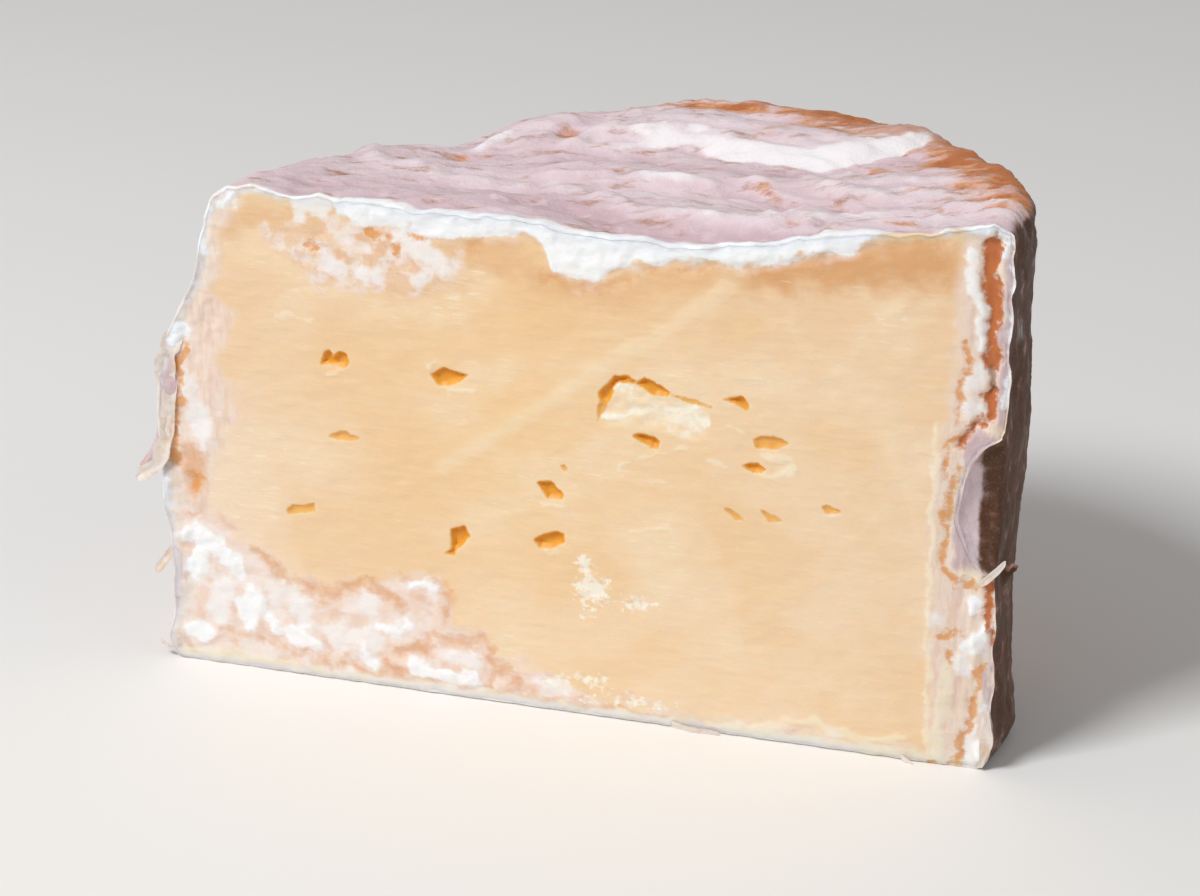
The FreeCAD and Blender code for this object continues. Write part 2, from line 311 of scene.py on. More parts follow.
STEPS = 36
RIM_BAND = (0.84, 0.92)
RIM_UP = (33.0, 36.0)
FOOT_FLAT, FRONT_FLAT = 0.12, 0.3
DIMPLE_DEPTH = 0.5
reach = np.hypot(across, back)
step = np.clip((angle / math.pi * STEPS).astype(int), 0, STEPS - 1)
at_rim = (up > RIM_BAND[0] * WHEEL_HEIGHT) & (up < RIM_BAND[1] * WHEEL_HEIGHT)
rim_reach = np.array([reach[at_rim & (step == index)].max() for index in range(STEPS)])
middles = (np.arange(STEPS) + 0.5) * math.pi / STEPS
from_rim = np.interp(angle, middles, rim_reach) - reach
rim = np.exp(-(from_rim / RIM_WIDTH) ** 2) * rise(up, *RIM_UP)
print("radius at the rim in mm:", rim_reach.min().round(1), "to", rim_reach.max().round(1))


def near(paths, width):
    """1 on the nearest of some lines over the top, falling to 0 beyond a width in mm."""
    wander = across + 0.7 * lumps(points, 3.4, 2, 31), back + 0.7 * lumps(points, 3.4, 2, 32)
    return np.max([np.exp(-(to_path(*wander, path) / width) ** 2) for path in paths], axis=0)


ridge = near(RIDGES, RIDGE_WIDTH)
valley = near(VALLEYS, VALLEY_WIDTH)
behind = back - along(across, CREASE)
span = rise(across, -9.0, -1.0) * (1.0 - rise(across, 17.0, 21.0))
slope = rise(behind, -0.25, SLOPE_RUN) * (1.0 - rise(behind, 4.0, 9.0)) * span
dimple = rise(np.max([in_oval(across, back, oval) for oval in DIMPLES], axis=0), -0.5, 0.5)

bent = points.copy()
bent[:, 1] += FOLD_SAG * across ** 2
small = 1.0 - 2.0 * np.abs(lumps(bent, (SMALL_LENGTH, SMALL_PITCH, 9.0), 2, 1))
crepe = 1.0 - 2.0 * np.abs(lumps(bent, (CREPE_LENGTH, CREPE_PITCH, 5.0), 2, 2))
unrolled = np.stack([round_the_side, up, 0.3 * reach], axis=1)
wrinkles = 1.0 - 2.0 * np.abs(lumps(unrolled, (SIDE_ROUND, SIDE_UP, 6.0), 3, 3))
felt = lumps(points, FELT_SIZE, 3, 4)

folds = RIDGE_RISE * ridge - VALLEY_DEPTH * valley + SMALL_RISE * (small - FOLD_MEAN)
folds += CREPE_RISE * (crepe - CREPE_MEAN) + SLOPE_RISE * slope - DIMPLE_DEPTH * dimple
relief = topness * folds + (1.0 - topness) * SIDE_RISE * (wrinkles - FOLD_MEAN)
relief += FELT_RISE * felt + RIM_RISE * rim * lumps(points, (2.4, 2.4, 1.6), 2, 5)
moved = points + normals * (relief * off_the_base)[:, None]
moved[:, 1] = np.where(back < FRONT_FLAT, back, moved[:, 1])
moved[:, 2] = np.where(up < FOOT_FLAT, 0.0, np.maximum(moved[:, 2], 0.0))
set_points(skin_mesh, moved)
print("relief of the skin in mm:", round(relief.min(), 2), "to", round(relief.max(), 2))

# %% [markdown]
# ## The edge of the cut
#
# The knife leaves the rind as a thin ragged edge round the paste. The open edge of the skin
# is extruded three times: forwards and in by a hair for a rounded corner, in by the rind's
# thickness, and back to make the wall of the tray. The wall leans inwards, because the top
# dips behind the cut and a straight wall would come out through it. A last face closes the
# tray's floor.

# %% Extrude the open edge into a tray
RIND_EDGE = 0.12
RAGGED, RAGGED_SIZE = 0.16, 1.4
LEAST_EDGE = 0.06
TRAY_DEPTH, TRAY_TAPER = 3.0, 1.7

skin = bmesh.new()
skin.from_mesh(skin_mesh)
skin.normal_update()


def open_edges(mesh):
    return [edge for edge in mesh.edges if edge.is_boundary]


def extrude_open_edge(mesh, step):
    """Extrude the open edge; step(vertex, old normal) gives the move in mm."""
    loop = open_edges(mesh)
    outward = {v: Vector((v.normal.x, 0.0, v.normal.z)).normalized()
               for edge in loop for v in edge.verts}
    places = {tuple(v.co): v for v in outward}
    made = bmesh.ops.extrude_edge_only(mesh, edges=loop)["geom"]
    fresh = [item for item in made if isinstance(item, bmesh.types.BMVert)]
    for vertex in fresh:
        normal = outward[places[tuple(vertex.co)]]
        vertex.co += step(vertex, normal) * MM
        vertex.normal = normal
    return fresh


def raggedness(vertex):
    place = Vector(in_mm(vertex.co))
    return max(RAGGED * noise.fractal(place / RAGGED_SIZE, 1.0, 2.0, 3), LEAST_EDGE - RIND_EDGE)


extrude_open_edge(skin, lambda v, n: Vector((0, -EDGE_ROUND, 0)) - n * EDGE_ROUND)
inner = extrude_open_edge(skin, lambda v, n: -n * (RIND_EDGE + raggedness(v)))
inner_line = np.array([in_mm(v.co) for v in inner])
extrude_open_edge(skin, lambda v, n: Vector((0, TRAY_DEPTH, 0)) - n * TRAY_TAPER)
tray_floor = bmesh.ops.holes_fill(skin, edges=open_edges(skin), sides=0)["faces"]
bmesh.ops.triangulate(skin, faces=tray_floor)
bmesh.ops.recalc_face_normals(skin, faces=skin.faces)
left_open = len(open_edges(skin))
skin.to_mesh(skin_mesh)
skin.free()
print("rind:", len(skin_mesh.polygons), "faces,", left_open, "open edges,",
      len(inner), "points round the tray")

# %% [markdown]
# ## The cut face
#
# Ripe paste cuts smooth but not flat. It has small curd eyes with steep walls, a torn pit, and
# soft lumps where mould has crept in from the rind. The slab's front is one fine grid made
# with `create_grid` and pulled out to the tray's wall. Later every point moves back into an
# eye or forwards onto mould, and the grid's edge is extruded back and closed.

# %% A grid that fits the tray
GRID_STEP = 0.165
FIT = 0.02
MIDDLE = (-1.5, 19.0)

line_angle = np.arctan2(inner_line[:, 2] - MIDDLE[1], inner_line[:, 0] - MIDDLE[0])
line_reach = np.hypot(inner_line[:, 2] - MIDDLE[1], inner_line[:, 0] - MIDDLE[0]) - FIT
order = np.argsort(line_angle)
line_angle, line_reach = line_angle[order], line_reach[order]

half_wide = np.ptp(inner_line[:, 0]) / 2.0
half_tall = np.ptp(inner_line[:, 2]) / 2.0
columns = round(2.0 * half_wide / GRID_STEP)
rows = round(2.0 * half_tall / GRID_STEP)

slab = bmesh.new()
bmesh.ops.create_grid(slab, x_segments=columns, y_segments=rows, size=1.0)
paste_mesh = bpy.data.meshes.new("paste")
slab.to_mesh(paste_mesh)
slab.free()

flat = np.empty(len(paste_mesh.vertices) * 3)
paste_mesh.vertices.foreach_get("co", flat)
flat = flat.reshape(-1, 3)
right = flat[:, 0] * half_wide
over = flat[:, 1] * half_tall
share = np.maximum(np.abs(flat[:, 0]), np.abs(flat[:, 1]))
reach_in_grid = np.hypot(right, over) / np.maximum(share, 1e-6)
reach_in_tray = np.interp(np.arctan2(over, right), line_angle, line_reach, period=2 * math.pi)
pull = 1.0 + (reach_in_tray / np.maximum(reach_in_grid, 1e-6) - 1.0) * share ** 3
face_across = MIDDLE[0] + right * pull
face_up = MIDDLE[1] + over * pull
print("front of the paste:", columns, "by", rows, "faces")

# %% [markdown]
# ## Curd eyes and the torn pit
#
# Eyes are small gas or drainage holes, squeezed by the curd's weight, so most are flat
# lenses, wedges and commas rather than round. Each is a small outline with a nominal depth.
# The walls are steep, and the roof of an eye is painted darker than its floor: painted shade.
# The pit is a torn smear with an arched crack at its left and a wedge at its top.

# %% Each eye: its outline, and a depth in mm that SHALLOWER then scales down
EYES = {
    "two peaks": (0.9, ((-20.1, 24.8), (-19.8, 25.7), (-19.4, 25.95), (-19.1, 25.45),
                        (-18.7, 25.85), (-18.2, 25.85), (-17.9, 25.1), (-18.1, 24.8))),
    "leaf": (0.9, ((-11.7, 24.9), (-10.7, 25.6), (-10.3, 25.4), (-8.9, 25.25), (-9.4, 24.7),
                   (-10.5, 24.2), (-11.2, 24.2))),
    "slit": (0.4, ((-19.7, 19.4), (-18.7, 19.8), (-18.3, 19.95), (-18.0, 19.6), (-17.3, 19.45),
                   (-17.9, 19.25), (-19.2, 19.2))),
    "dash": (0.4, ((-23.2, 13.2), (-22.7, 13.6), (-21.9, 13.7), (-21.0, 13.95), (-21.0, 13.4),
                   (-21.9, 13.1), (-23.1, 12.9))),
    "comma": (1.0, ((-10.4, 13.3), (-10.0, 13.45), (-9.4, 13.65), (-9.0, 12.9), (-9.5, 12.1),
                    (-10.0, 11.8), (-10.2, 11.3), (-11.0, 11.3), (-10.4, 11.8))),
    "wedge": (0.9, ((-3.9, 17.75), (-2.8, 17.85), (-1.95, 17.0), (-2.0, 16.65), (-3.1, 16.6),
                    (-3.5, 17.1))),
    "bean": (1.0, ((-4.15, 13.2), (-3.7, 13.65), (-2.6, 14.05), (-1.9, 14.0), (-1.85, 13.3),
                   (-2.7, 12.75), (-3.8, 12.7))),
    "dot": (0.3, ((-2.05, 19.2), (-1.75, 19.2), (-1.6, 18.85), (-1.9, 18.8))),
    "slanted": (1.0, ((3.15, 22.1), (3.8, 22.25), (4.7, 22.15), (5.15, 21.8), (5.0, 21.25),
                      (4.6, 21.3), (4.0, 21.6), (3.6, 21.7))),
    "hook": (0.8, ((9.7, 25.5), (10.9, 25.85), (11.2, 25.6), (11.5, 25.0), (11.3, 24.8),
                   (10.5, 25.2))),
    "large lens": (0.5, ((11.8, 22.8), (12.3, 23.1), (13.3, 23.15), (14.35, 22.8), (14.0, 22.5),
                         (13.3, 22.25), (12.0, 22.2))),
    "small lens": (0.7, ((11.1, 20.75), (11.6, 21.05), (12.2, 21.05), (12.7, 20.65),
                         (12.4, 20.4), (11.8, 20.35))),
    "slant": (0.3, ((9.8, 17.45), (10.3, 17.4), (11.4, 16.7), (10.6, 16.75))),
    "faint": (0.2, ((12.4, 17.7), (12.9, 17.5), (14.0, 17.05), (13.0, 16.8))),
    "last": (0.3, ((16.7, 18.45), (17.3, 18.5), (18.05, 18.2), (17.8, 18.0), (17.0, 18.05))),
    "arch": (1.0, ((0.65, 25.0), (1.3, 25.7), (1.9, 26.35), (2.9, 26.45), (3.35, 26.0),
                   (2.8, 25.9), (1.95, 25.6), (1.55, 24.6), (1.2, 24.05), (0.7, 24.5))),
    "arch's foot": (0.4, ((0.6, 23.9), (0.8, 24.3), (1.2, 24.0), (0.85, 23.3), (0.6, 22.8))),
    "pit's wedge": (0.9, ((3.4, 25.9), (4.0, 26.4), (4.7, 26.2), (5.95, 25.5), (5.6, 25.2),
                          (4.7, 25.2))),
    "pit's tail": (0.2, ((5.5, 25.45), (7.3, 25.2), (8.8, 24.8), (7.3, 24.9))),
}
WALL_SLOPE = 1.5
SHALLOWER = 0.38
EYE_FADE = 0.6
EYE_WANDER, EYE_WANDER_SIZE = 0.09, 0.5


def eye_fields(across, up):
    """Depth, mm inside the nearest eye, height within it from 0 to 1, and that eye's depth."""
    wander = EYE_WANDER * lumps(on_face(across, up), EYE_WANDER_SIZE, 2, 41)
    depth, inside, height, tone = (np.full(len(up), start) for start in (0.0, -EYE_FADE, 0.0, 0.0))
    for deep, corners in EYES.values():
        within = in_outline(across, up, corners) + wander
        nearer = within > inside
        floor, roof = min(z for _, z in corners), max(z for _, z in corners)
        inside = np.maximum(inside, within)
        height = np.where(nearer, np.clip((up - floor) / (roof - floor), 0.0, 1.0), height)
        tone = np.where(nearer, deep, tone)
        depth = np.maximum(depth, np.minimum(np.maximum(within, 0.0) * WALL_SLOPE,
                                             SHALLOWER * deep))
    return depth, inside, height, tone


hollow, eye, eye_height, eye_tone = eye_fields(face_across, face_up)
inner_part = rise(1.0 - share, 0.0, 0.02)
hollow = hollow * inner_part
print(len(EYES), "eyes, the deepest", round(hollow.max(), 2), "mm")

# %% [markdown]
# ## A map of the cut face
#
# Colour and relief on the cut follow where the mould has worked. Instead of a picture, named
# lines, ovals and brush strokes say where each thing lies, in millimetres across from the
# axis and up from the base. A stroke is a half width and the places it runs through. They
# become smooth fields, such as how far a point is inside white mould, and the material's
# noise makes their edges ragged at a scale finer than the mesh.

# %% Lines that divide the cut
WHITE_BAND = ((-19.0, 38.2), (-18.4, 36.1), (-16.8, 35.6), (-13.6, 35.7), (-12.0, 35.2),
              (-10.4, 35.0), (-8.4, 35.2), (-7.6, 35.8), (-4.8, 35.9), (-3.7, 35.4), (-3.0, 34.6),
              (-2.6, 33.4), (0.7, 33.2), (1.8, 34.1), (3.6, 34.7), (7.3, 35.3), (10.6, 35.4),
              (13.5, 35.6), (14.9, 36.3), (18.6, 37.1), (21.5, 38.8))
CHALK_TOP = ((-33.5, 13.6), (-31.4, 12.4), (-29.2, 12.4), (-27.9, 11.3), (-26.9, 10.3),
             (-25.0, 9.7), (-24.0, 8.6), (-22.6, 7.3), (-20.0, 7.3), (-17.0, 8.4), (-14.1, 8.9),
             (-11.4, 9.2), (-10.5, 7.6), (-10.6, 5.3), (-8.1, 5.1), (-6.7, 3.7), (-4.0, 3.0),
             (-1.5, 2.0), (1.0, 1.2), (30.0, 0.9))
# These two are upright lines, so they are given as (up, across).
PASTE_RIGHT_END = ((0.0, 25.0), (7.9, 24.6), (14.0, 24.4), (22.2, 24.6), (28.0, 25.3),
                   (37.5, 25.7))
SOFT_LEFT_END = ((0.0, -31.0), (10.0, -29.8), (16.0, -29.0), (18.8, -27.8), (20.1, -27.0),
                 (24.6, -28.0), (27.4, -26.8), (29.6, -28.1), (34.0, -27.4), (38.0, -25.6))

# %% Brush strokes: a half width in mm, and the (across, up) places on the way
STROKES = {
    "white": (
        (0.75, ((-31.0, 10.3), (-29.3, 9.9), (-28.2, 9.2), (-27.4, 8.3))),
        (0.7, ((-30.2, 9.4), (-30.6, 7.8))), (1.0, ((-26.1, 5.6), (-26.5, 4.0))),
        (0.75, ((-30.9, 2.7), (-29.7, 2.3))), (0.85, ((-23.0, 3.2), (-21.8, 2.9))),
        (0.4, ((-24.7, 4.1), (-24.5, 3.3))), (0.35, ((-17.5, 2.9), (-16.9, 1.7))),
        (0.6, ((-13.3, 1.8), (-11.0, 1.6), (-9.0, 1.7))), (0.3, ((-15.9, 4.6), (-13.7, 5.1))),
        (0.3, ((-13.2, 8.5), (-12.1, 8.6))), (0.25, ((-28.7, 35.6), (-29.2, 34.2), (-28.8, 32.4))),
        (0.25, ((-29.3, 31.3), (-30.4, 29.4))), (0.3, ((-30.8, 26.3), (-31.7, 25.3))),
        (0.22, ((-27.0, 36.5), (-26.3, 36.9))),
        (0.2, ((-25.9, 37.5), (-23.9, 37.5), (-21.0, 37.5))),
        (0.2, ((-32.8, 14.4), (-33.0, 13.3), (-32.7, 11.8))),
        (0.42, ((27.2, 9.4), (28.1, 10.3))), (0.3, ((28.0, 9.0), (28.3, 10.8))),
        (0.28, ((27.5, 12.8), (27.5, 11.9))), (0.3, ((28.1, 37.8), (28.9, 38.3))),
        (0.45, ((28.8, 4.2), (28.9, 2.6), (28.6, 0.9)))),
    "soft_white": (
        (0.8, ((-24.2, 6.4), (-22.0, 5.2))), (1.0, ((-28.6, 5.8), (-28.8, 4.2))),
        (0.9, ((-19.6, 3.6), (-16.6, 3.4))), (0.7, ((-10.2, 3.0), (-8.6, 3.0))),
        (0.6, ((-17.0, 6.8), (-16.4, 6.2))), (0.6, ((-19.4, 32.7), (-18.1, 32.2))),
        (0.4, ((-17.4, 33.6), (-16.4, 33.9))), (0.5, ((-16.6, 31.8), (-15.3, 32.3))),
        (0.45, ((-13.6, 31.9), (-12.5, 31.9))), (0.9, ((-12.0, 34.2), (-11.2, 33.8))),
        (0.35, ((-13.6, 35.0), (-13.0, 34.3))), (0.35, ((-10.3, 32.4), (-10.5, 33.6))),
        (0.3, ((-30.5, 22.9), (-30.6, 21.0), (-30.2, 19.9))),
        (0.9, ((-29.8, 19.9), (-29.5, 18.2))),
        (0.8, ((-20.9, 36.5), (-19.6, 36.9))), (0.45, ((27.2, 29.6), (26.7, 28.4), (26.5, 26.6))),
        (0.35, ((-4.0, 2.0), (-1.6, 1.6))), (0.5, ((27.0, 8.1), (27.4, 7.6))),
        (0.4, ((24.7, 10.8), (25.3, 11.2))), (0.5, ((27.8, 3.2), (27.6, 0.8)))),
    "seam": (
        (0.36, ((26.4, 37.6), (26.45, 36.0), (26.6, 35.0))),
        (0.28, ((26.6, 35.0), (26.8, 33.9), (27.1, 32.8), (27.2, 31.0))),
        (0.2, ((29.1, 37.0), (29.2, 34.0), (29.1, 31.0), (29.0, 27.0)))),
    # Many pale strokes lie just under an eye, and one runs along the paste's right end: painted
    # highlight where light catches a lip. The others are pale patches of the paste.
    "pale": (
        (0.12, ((-19.6, 24.4), (-17.6, 24.35))), (0.14, ((-10.2, 23.8), (-8.6, 24.2))),
        (0.14, ((-3.5, 16.2), (-1.8, 16.3))), (0.15, ((-3.2, 12.4), (-2.2, 12.5))),
        (0.18, ((12.6, 21.8), (14.5, 21.5))), (0.14, ((16.8, 17.5), (18.2, 17.8))),
        (0.15, ((12.1, 20.2), (13.4, 20.4), (14.9, 20.9))),
        (0.12, ((-11.9, 25.55), (-11.0, 25.8))),
        (0.12, ((3.6, 20.4), (4.7, 20.9), (7.1, 21.5))),
        (0.14, ((3.0, 14.8), (4.2, 15.0), (5.7, 15.5))),
        (0.15, ((2.2, 19.8), (3.0, 20.0))), (0.15, ((4.3, 18.8), (5.4, 18.9))),
        (0.15, ((8.7, 20.7), (9.7, 20.7))), (0.15, ((-23.5, 28.1), (-21.6, 28.0), (-20.4, 28.3))),
        (0.2, ((10.2, 23.6), (11.0, 23.4))), (0.2, ((24.8, 0.8), (24.4, 10.0), (24.4, 25.0))),
        (0.25, ((9.0, 0.8), (12.0, 0.8), (14.9, 1.6), (16.9, 2.2), (18.1, 1.3), (20.6, 1.1),
                (23.3, 1.8)))),
    "tan": (
        (0.3, ((-25.6, 9.5), (-24.2, 8.6), (-23.5, 7.0), (-23.3, 5.4))),
        (0.35, ((-22.6, 7.4), (-19.8, 6.9), (-18.7, 7.7), (-17.0, 8.2), (-16.0, 8.0), (-14.9, 7.2),
                (-14.0, 6.2))),
        (0.18, ((-14.1, 8.9), (-11.4, 9.1), (-10.6, 7.6), (-10.8, 6.2))),
        (0.5, ((-14.6, 3.2), (-13.4, 3.1), (-12.3, 4.1))),
        (0.3, ((-12.0, 4.7), (-10.8, 4.4), (-9.4, 4.5), (-8.1, 4.9), (-7.5, 4.3))),
        (0.4, ((-7.4, 3.1), (-6.2, 2.6), (-5.8, 1.8))),
        (0.25, ((-7.4, 2.6), (-7.6, 0.6), (-5.9, 0.6))),
        (0.2, ((-28.4, 3.0), (-26.6, 2.5), (-25.4, 2.5), (-24.0, 1.8), (-22.3, 1.9), (-20.7, 1.6),
               (-20.0, 1.0), (-18.5, 1.7), (-17.5, 1.0), (-16.4, 0.7), (-15.4, 1.7), (-13.9, 0.9),
               (-12.7, 0.5), (-11.5, 0.8), (-10.1, 0.9), (-9.3, 0.6), (-7.8, 1.1))),
        (0.18, ((-7.2, 0.6), (-3.7, 0.7), (-1.2, 0.6), (2.0, 0.8), (6.0, 0.6))),
        (0.8, ((-30.6, 16.9), (-30.5, 15.4), (-30.4, 14.2))),
        (0.25, ((-31.3, 11.9), (-30.3, 11.9))),
        (0.35, ((-31.8, 1.7), (-31.2, 0.9))), (0.3, ((-31.0, 9.1), (-30.9, 8.6))),
        (0.2, ((4.0, 34.3), (7.1, 34.6), (9.1, 35.1), (11.0, 34.9), (13.8, 35.5), (16.3, 36.2),
               (20.6, 37.4), (24.6, 38.2))),
        (0.3, ((-2.9, 33.0), (-1.0, 32.5), (1.4, 32.7), (3.0, 33.7))),
        (0.2, ((-9.0, 36.8), (-8.1, 36.4), (-7.9, 35.2), (-8.4, 34.5)))),
    "ochre": (
        (0.25, ((-20.9, 33.7), (-20.3, 33.4))),
        (0.18, ((-16.1, 35.1), (-15.2, 34.9), (-14.4, 34.6))),
        (0.18, ((-13.0, 35.0), (-12.0, 35.1))), (0.25, ((-14.2, 34.1), (-13.8, 33.6))),
        # This ochre line down the left edge is partly a groove and partly painted shadow, cast by
        # the loose flap onto the face.
        (0.28, ((-30.8, 25.0), (-31.1, 23.3), (-31.2, 21.0), (-31.5, 19.6), (-32.0, 17.4),
                (-32.1, 15.9))),
        (0.3, ((-30.3, 15.0), (-30.4, 14.2))), (0.2, ((26.2, 31.4), (26.5, 30.3), (26.4, 29.3),
         (25.9, 28.2), (25.8, 26.0), (26.0, 24.8), (25.4, 23.9), (25.0, 22.8), (25.3, 21.6))),
        (0.22, ((26.0, 22.4), (25.6, 21.0), (25.3, 18.6), (25.2, 15.8), (25.5, 14.6), (26.4, 13.9),
                (27.6, 13.9), (28.5, 14.5))),
        (0.3, ((25.4, 9.9), (26.4, 10.2))), (0.2, ((25.9, 8.6), (26.0, 7.9))),
        (0.25, ((28.2, 7.7), (28.2, 6.2), (27.9, 4.8), (27.4, 3.2), (27.2, 1.6), (26.8, 0.4))),
        (0.2, ((25.4, 0.2), (25.8, 0.1))), (0.2, ((26.5, 0.4), (26.9, 0.3)))),
    "orange": (
        (0.5, ((27.7, 38.4), (27.6, 36.2), (27.6, 35.2), (27.8, 33.9), (27.9, 32.5),
               (27.9, 30.0))),
        (0.4, ((27.9, 27.7), (27.9, 26.4), (27.7, 25.6))),
        (0.3, ((27.4, 25.9), (26.6, 25.0), (26.2, 24.0))),
        (0.3, ((28.6, 14.3), (28.7, 13.2), (28.6, 12.0), (28.4, 10.9))),
        (0.2, ((28.9, 10.7), (28.9, 9.7)))),
    # The dark stroke paints the shade in a narrow gap at the right edge, over a shallow groove.
    "dark": ((0.2, ((27.9, 29.6), (28.0, 28.0))),),
    # Lavender strokes are white mould at the edge of the cut, painted with the shade it lies in.
    "lavender": (
        (0.4, ((28.6, 37.2), (28.8, 35.6), (28.9, 33.6), (28.8, 32.0), (28.7, 30.3), (28.6, 28.9),
               (28.7, 27.4), (28.8, 26.2))),
        (0.95, ((27.4, 24.2), (27.1, 22.0), (26.9, 19.5), (26.8, 17.5), (26.9, 15.9))),
        (0.9, ((-31.8, 24.0), (-32.4, 22.9), (-32.0, 21.8))),
        (0.5, ((-32.3, 8.2), (-32.1, 7.2), (-32.5, 5.6))), (0.3, ((28.6, 7.6), (28.9, 5.2)))),
    "cream": (
        (0.4, ((-32.6, 0.4), (-28.0, 0.9), (-22.0, 0.4), (-14.0, 0.35), (-4.0, 0.3), (6.0, 0.25),
               (14.0, 0.4), (24.0, 0.4), (29.0, 0.4))),
        (0.45, ((25.8, 7.5), (25.9, 5.3), (25.6, 2.9), (25.5, 0.9))),
        (0.2, ((26.6, 14.5), (27.3, 14.2), (28.0, 14.5)))),
    "ripe": ((1.5, ((12.6, 35.1), (16.4, 35.5), (19.9, 36.0), (24.2, 36.6))),),
    "under": (
        (0.8, ((-27.1, 34.3), (-26.9, 35.2))),
        (0.7, ((-25.4, 35.6), (-22.7, 35.0), (-19.1, 35.4))),
        (0.4, ((-14.4, 31.0), (-11.0, 31.3), (-8.4, 31.9))),
        (0.9, ((-17.0, 34.7), (-10.0, 34.3), (-5.6, 34.8))),
        (0.7, ((-9.4, 33.7), (-4.4, 33.5), (-3.2, 32.2), (1.8, 31.9), (4.4, 33.2), (9.0, 33.9),
               (13.0, 34.3))),),
    "smear": (
        (0.7, ((1.6, 23.6), (4.0, 24.2))), (1.0, ((4.2, 24.2), (7.6, 23.7))),
        (0.5, ((1.8, 25.1), (3.2, 25.3))), (0.4, ((6.6, 22.6), (7.4, 22.9)))),
    # Glossy spots in the pit: low roughness, with a pale colour that is a painted highlight.
    "gloss_and_highlight": (
        (0.16, ((5.6, 24.35), (7.4, 24.4))),
        (0.2, ((7.5, 24.2), (7.9, 24.6), (8.0, 23.8), (8.7, 23.6))),
        (0.14, ((1.9, 25.4), (2.9, 25.5))), (0.16, ((1.3, 23.2), (3.0, 23.6)))),
}
KNIFE = ((0.7, 0.8, ((9.6, 33.4), (4.7, 29.3), (2.1, 27.8), (-3.0, 23.8), (-11.0, 18.0))),
         (0.8, 0.3, ((9.6, 33.6), (7.0, 27.0), (6.4, 24.0))),
         (0.9, 0.35, ((10.5, 33.6), (19.0, 27.0), (23.5, 20.0))),
         (0.7, 0.35, ((22.4, 34.6), (18.1, 29.0))), (0.8, 0.4, ((21.1, 18.5), (11.5, 8.8))),
         (0.8, 0.2, ((21.2, 33.0), (21.6, 4.0))))
DARK_WEIGHT, DARK_WIDTH = 0.5, 0.35
DARK_KNIFE = ((14.2, 29.8), (19.0, 23.5), (22.7, 18.7), (24.0, 14.7))
MOTTLE = ((-23.6, 34.0), (-21.1, 34.6), (-17.6, 35.6), (-12.1, 35.0), (-9.9, 33.8), (-10.2, 31.9),
          (-12.3, 31.5), (-15.2, 31.2), (-17.8, 31.2), (-20.1, 31.2), (-21.2, 32.4))
# Ovals of small bubbles: real bumps, painted near-white as highlights on them.
BUBBLES_AND_HIGHLIGHTS = ((-0.2, 11.6, 0.7, 1.3, 15), (0.3, 10.0, 1.5, 1.2, 0), (3.6, 9.4, 1.6, 0.6, 0),
           (-0.2, 8.3, 0.6, 0.9, 0), (0.2, 2.7, 1.3, 0.6, 0), (-0.1, 1.3, 0.8, 0.5, 0),
           (3.4, 1.6, 2.4, 0.4, 0), (-2.3, 2.4, 1.1, 0.6, 0))

# %% Turn the map into fields
ROUGH_SIZE = 1.5
WANDER, WANDER_SIZE = 0.42, 1.3
STROKE_ROUGH, EDGE_ROUGH, CHALK_ROUGH, MOTTLE_GROWN = 0.15, 0.3, 0.5, 0.35


def face_fields(across, up):
    """Fields of the cut at points given in mm: distances in mm, shares from 0 to 1."""
    at = on_face(across, up)
    rough = lumps(at, ROUGH_SIZE, 3, 11)
    wandered = (across + WANDER * lumps(at, WANDER_SIZE, 4, 12),
                up + WANDER * lumps(at, WANDER_SIZE, 4, 13))
    fields = {name: brushed(*wandered, strokes) + STROKE_ROUGH * rough
              for name, strokes in STROKES.items()}
    band = up - along(across, WHITE_BAND) + EDGE_ROUGH * rough
    fields["white"] = np.maximum(fields["white"], band)
    fields["chalk"] = along(across, CHALK_TOP) - up + CHALK_ROUGH * rough
    past_right = across - along(up, PASTE_RIGHT_END)
    past_left = along(up, SOFT_LEFT_END) - across
    fields["soft_rind"] = np.maximum(past_right, past_left) + EDGE_ROUGH * rough
    fields["mottle"] = in_outline(across, up, MOTTLE) + MOTTLE_GROWN + CHALK_ROUGH * rough
    streak = sum(weight * np.exp(-(to_path(across, up, path) / width) ** 2)
                 for width, weight, path in KNIFE)
    fields["streak"] = streak - DARK_WEIGHT * np.exp(
        -(to_path(across, up, DARK_KNIFE) / DARK_WIDTH) ** 2)
    fields["bubbles_and_highlights"] = np.max([in_oval(across, up, oval) for oval in BUBBLES_AND_HIGHLIGHTS], axis=0)
    return fields


def add_fields(mesh, fields):
    """Store fields on a mesh, one number a point, for the material to read."""
    for name, values in fields.items():
        layer = mesh.attributes.new(name, "FLOAT", "POINT")
        layer.data.foreach_set("value", np.asarray(values, np.float32))


fields = face_fields(face_across, face_up)
fields["inside"] = (1.0 - share) * reach_in_tray
print("fields of the cut:", ", ".join(fields))

# %% [markdown]
# ## Relief of the cut
#
# A knife drags soft paste, so the cut has faint level folds and slanting ridges. Mould stands
# a little proud and rough, stained lines are shallow grooves, and the torn pit is crumbly.
# Past the paste's right end the rind was crushed into upright folds.

# %% Relief of the front, in mm towards the viewer
CURD_RISE, DRAG_RISE, MOULD_RISE = 0.045, 0.02, 0.13
UPRIGHT_RISE, CORNER_ROLL, CORNER_WIDTH = 0.2, 0.35, 3.2
SOFT_RISE = 0.24
SMEAR_LUMPS, FLECK_LUMPS, STREAK_RISE = 0.14, 0.1, 0.05
PROUD = {"white": (0.1, 0.3), "seam": (0.08, 0.25), "soft_white": (0.05, 0.3),
         "orange": (-0.28, 0.25),
         "ochre": (-0.06, 0.2), "tan": (-0.05, 0.25), "dark": (-0.12, 0.2), "lavender": (0.1, 0.4),
         "cream": (0.06, 0.3), "smear": (-0.12, 0.5), "gloss_and_highlight": (0.08, 0.15), "pale": (0.05, 0.15)}


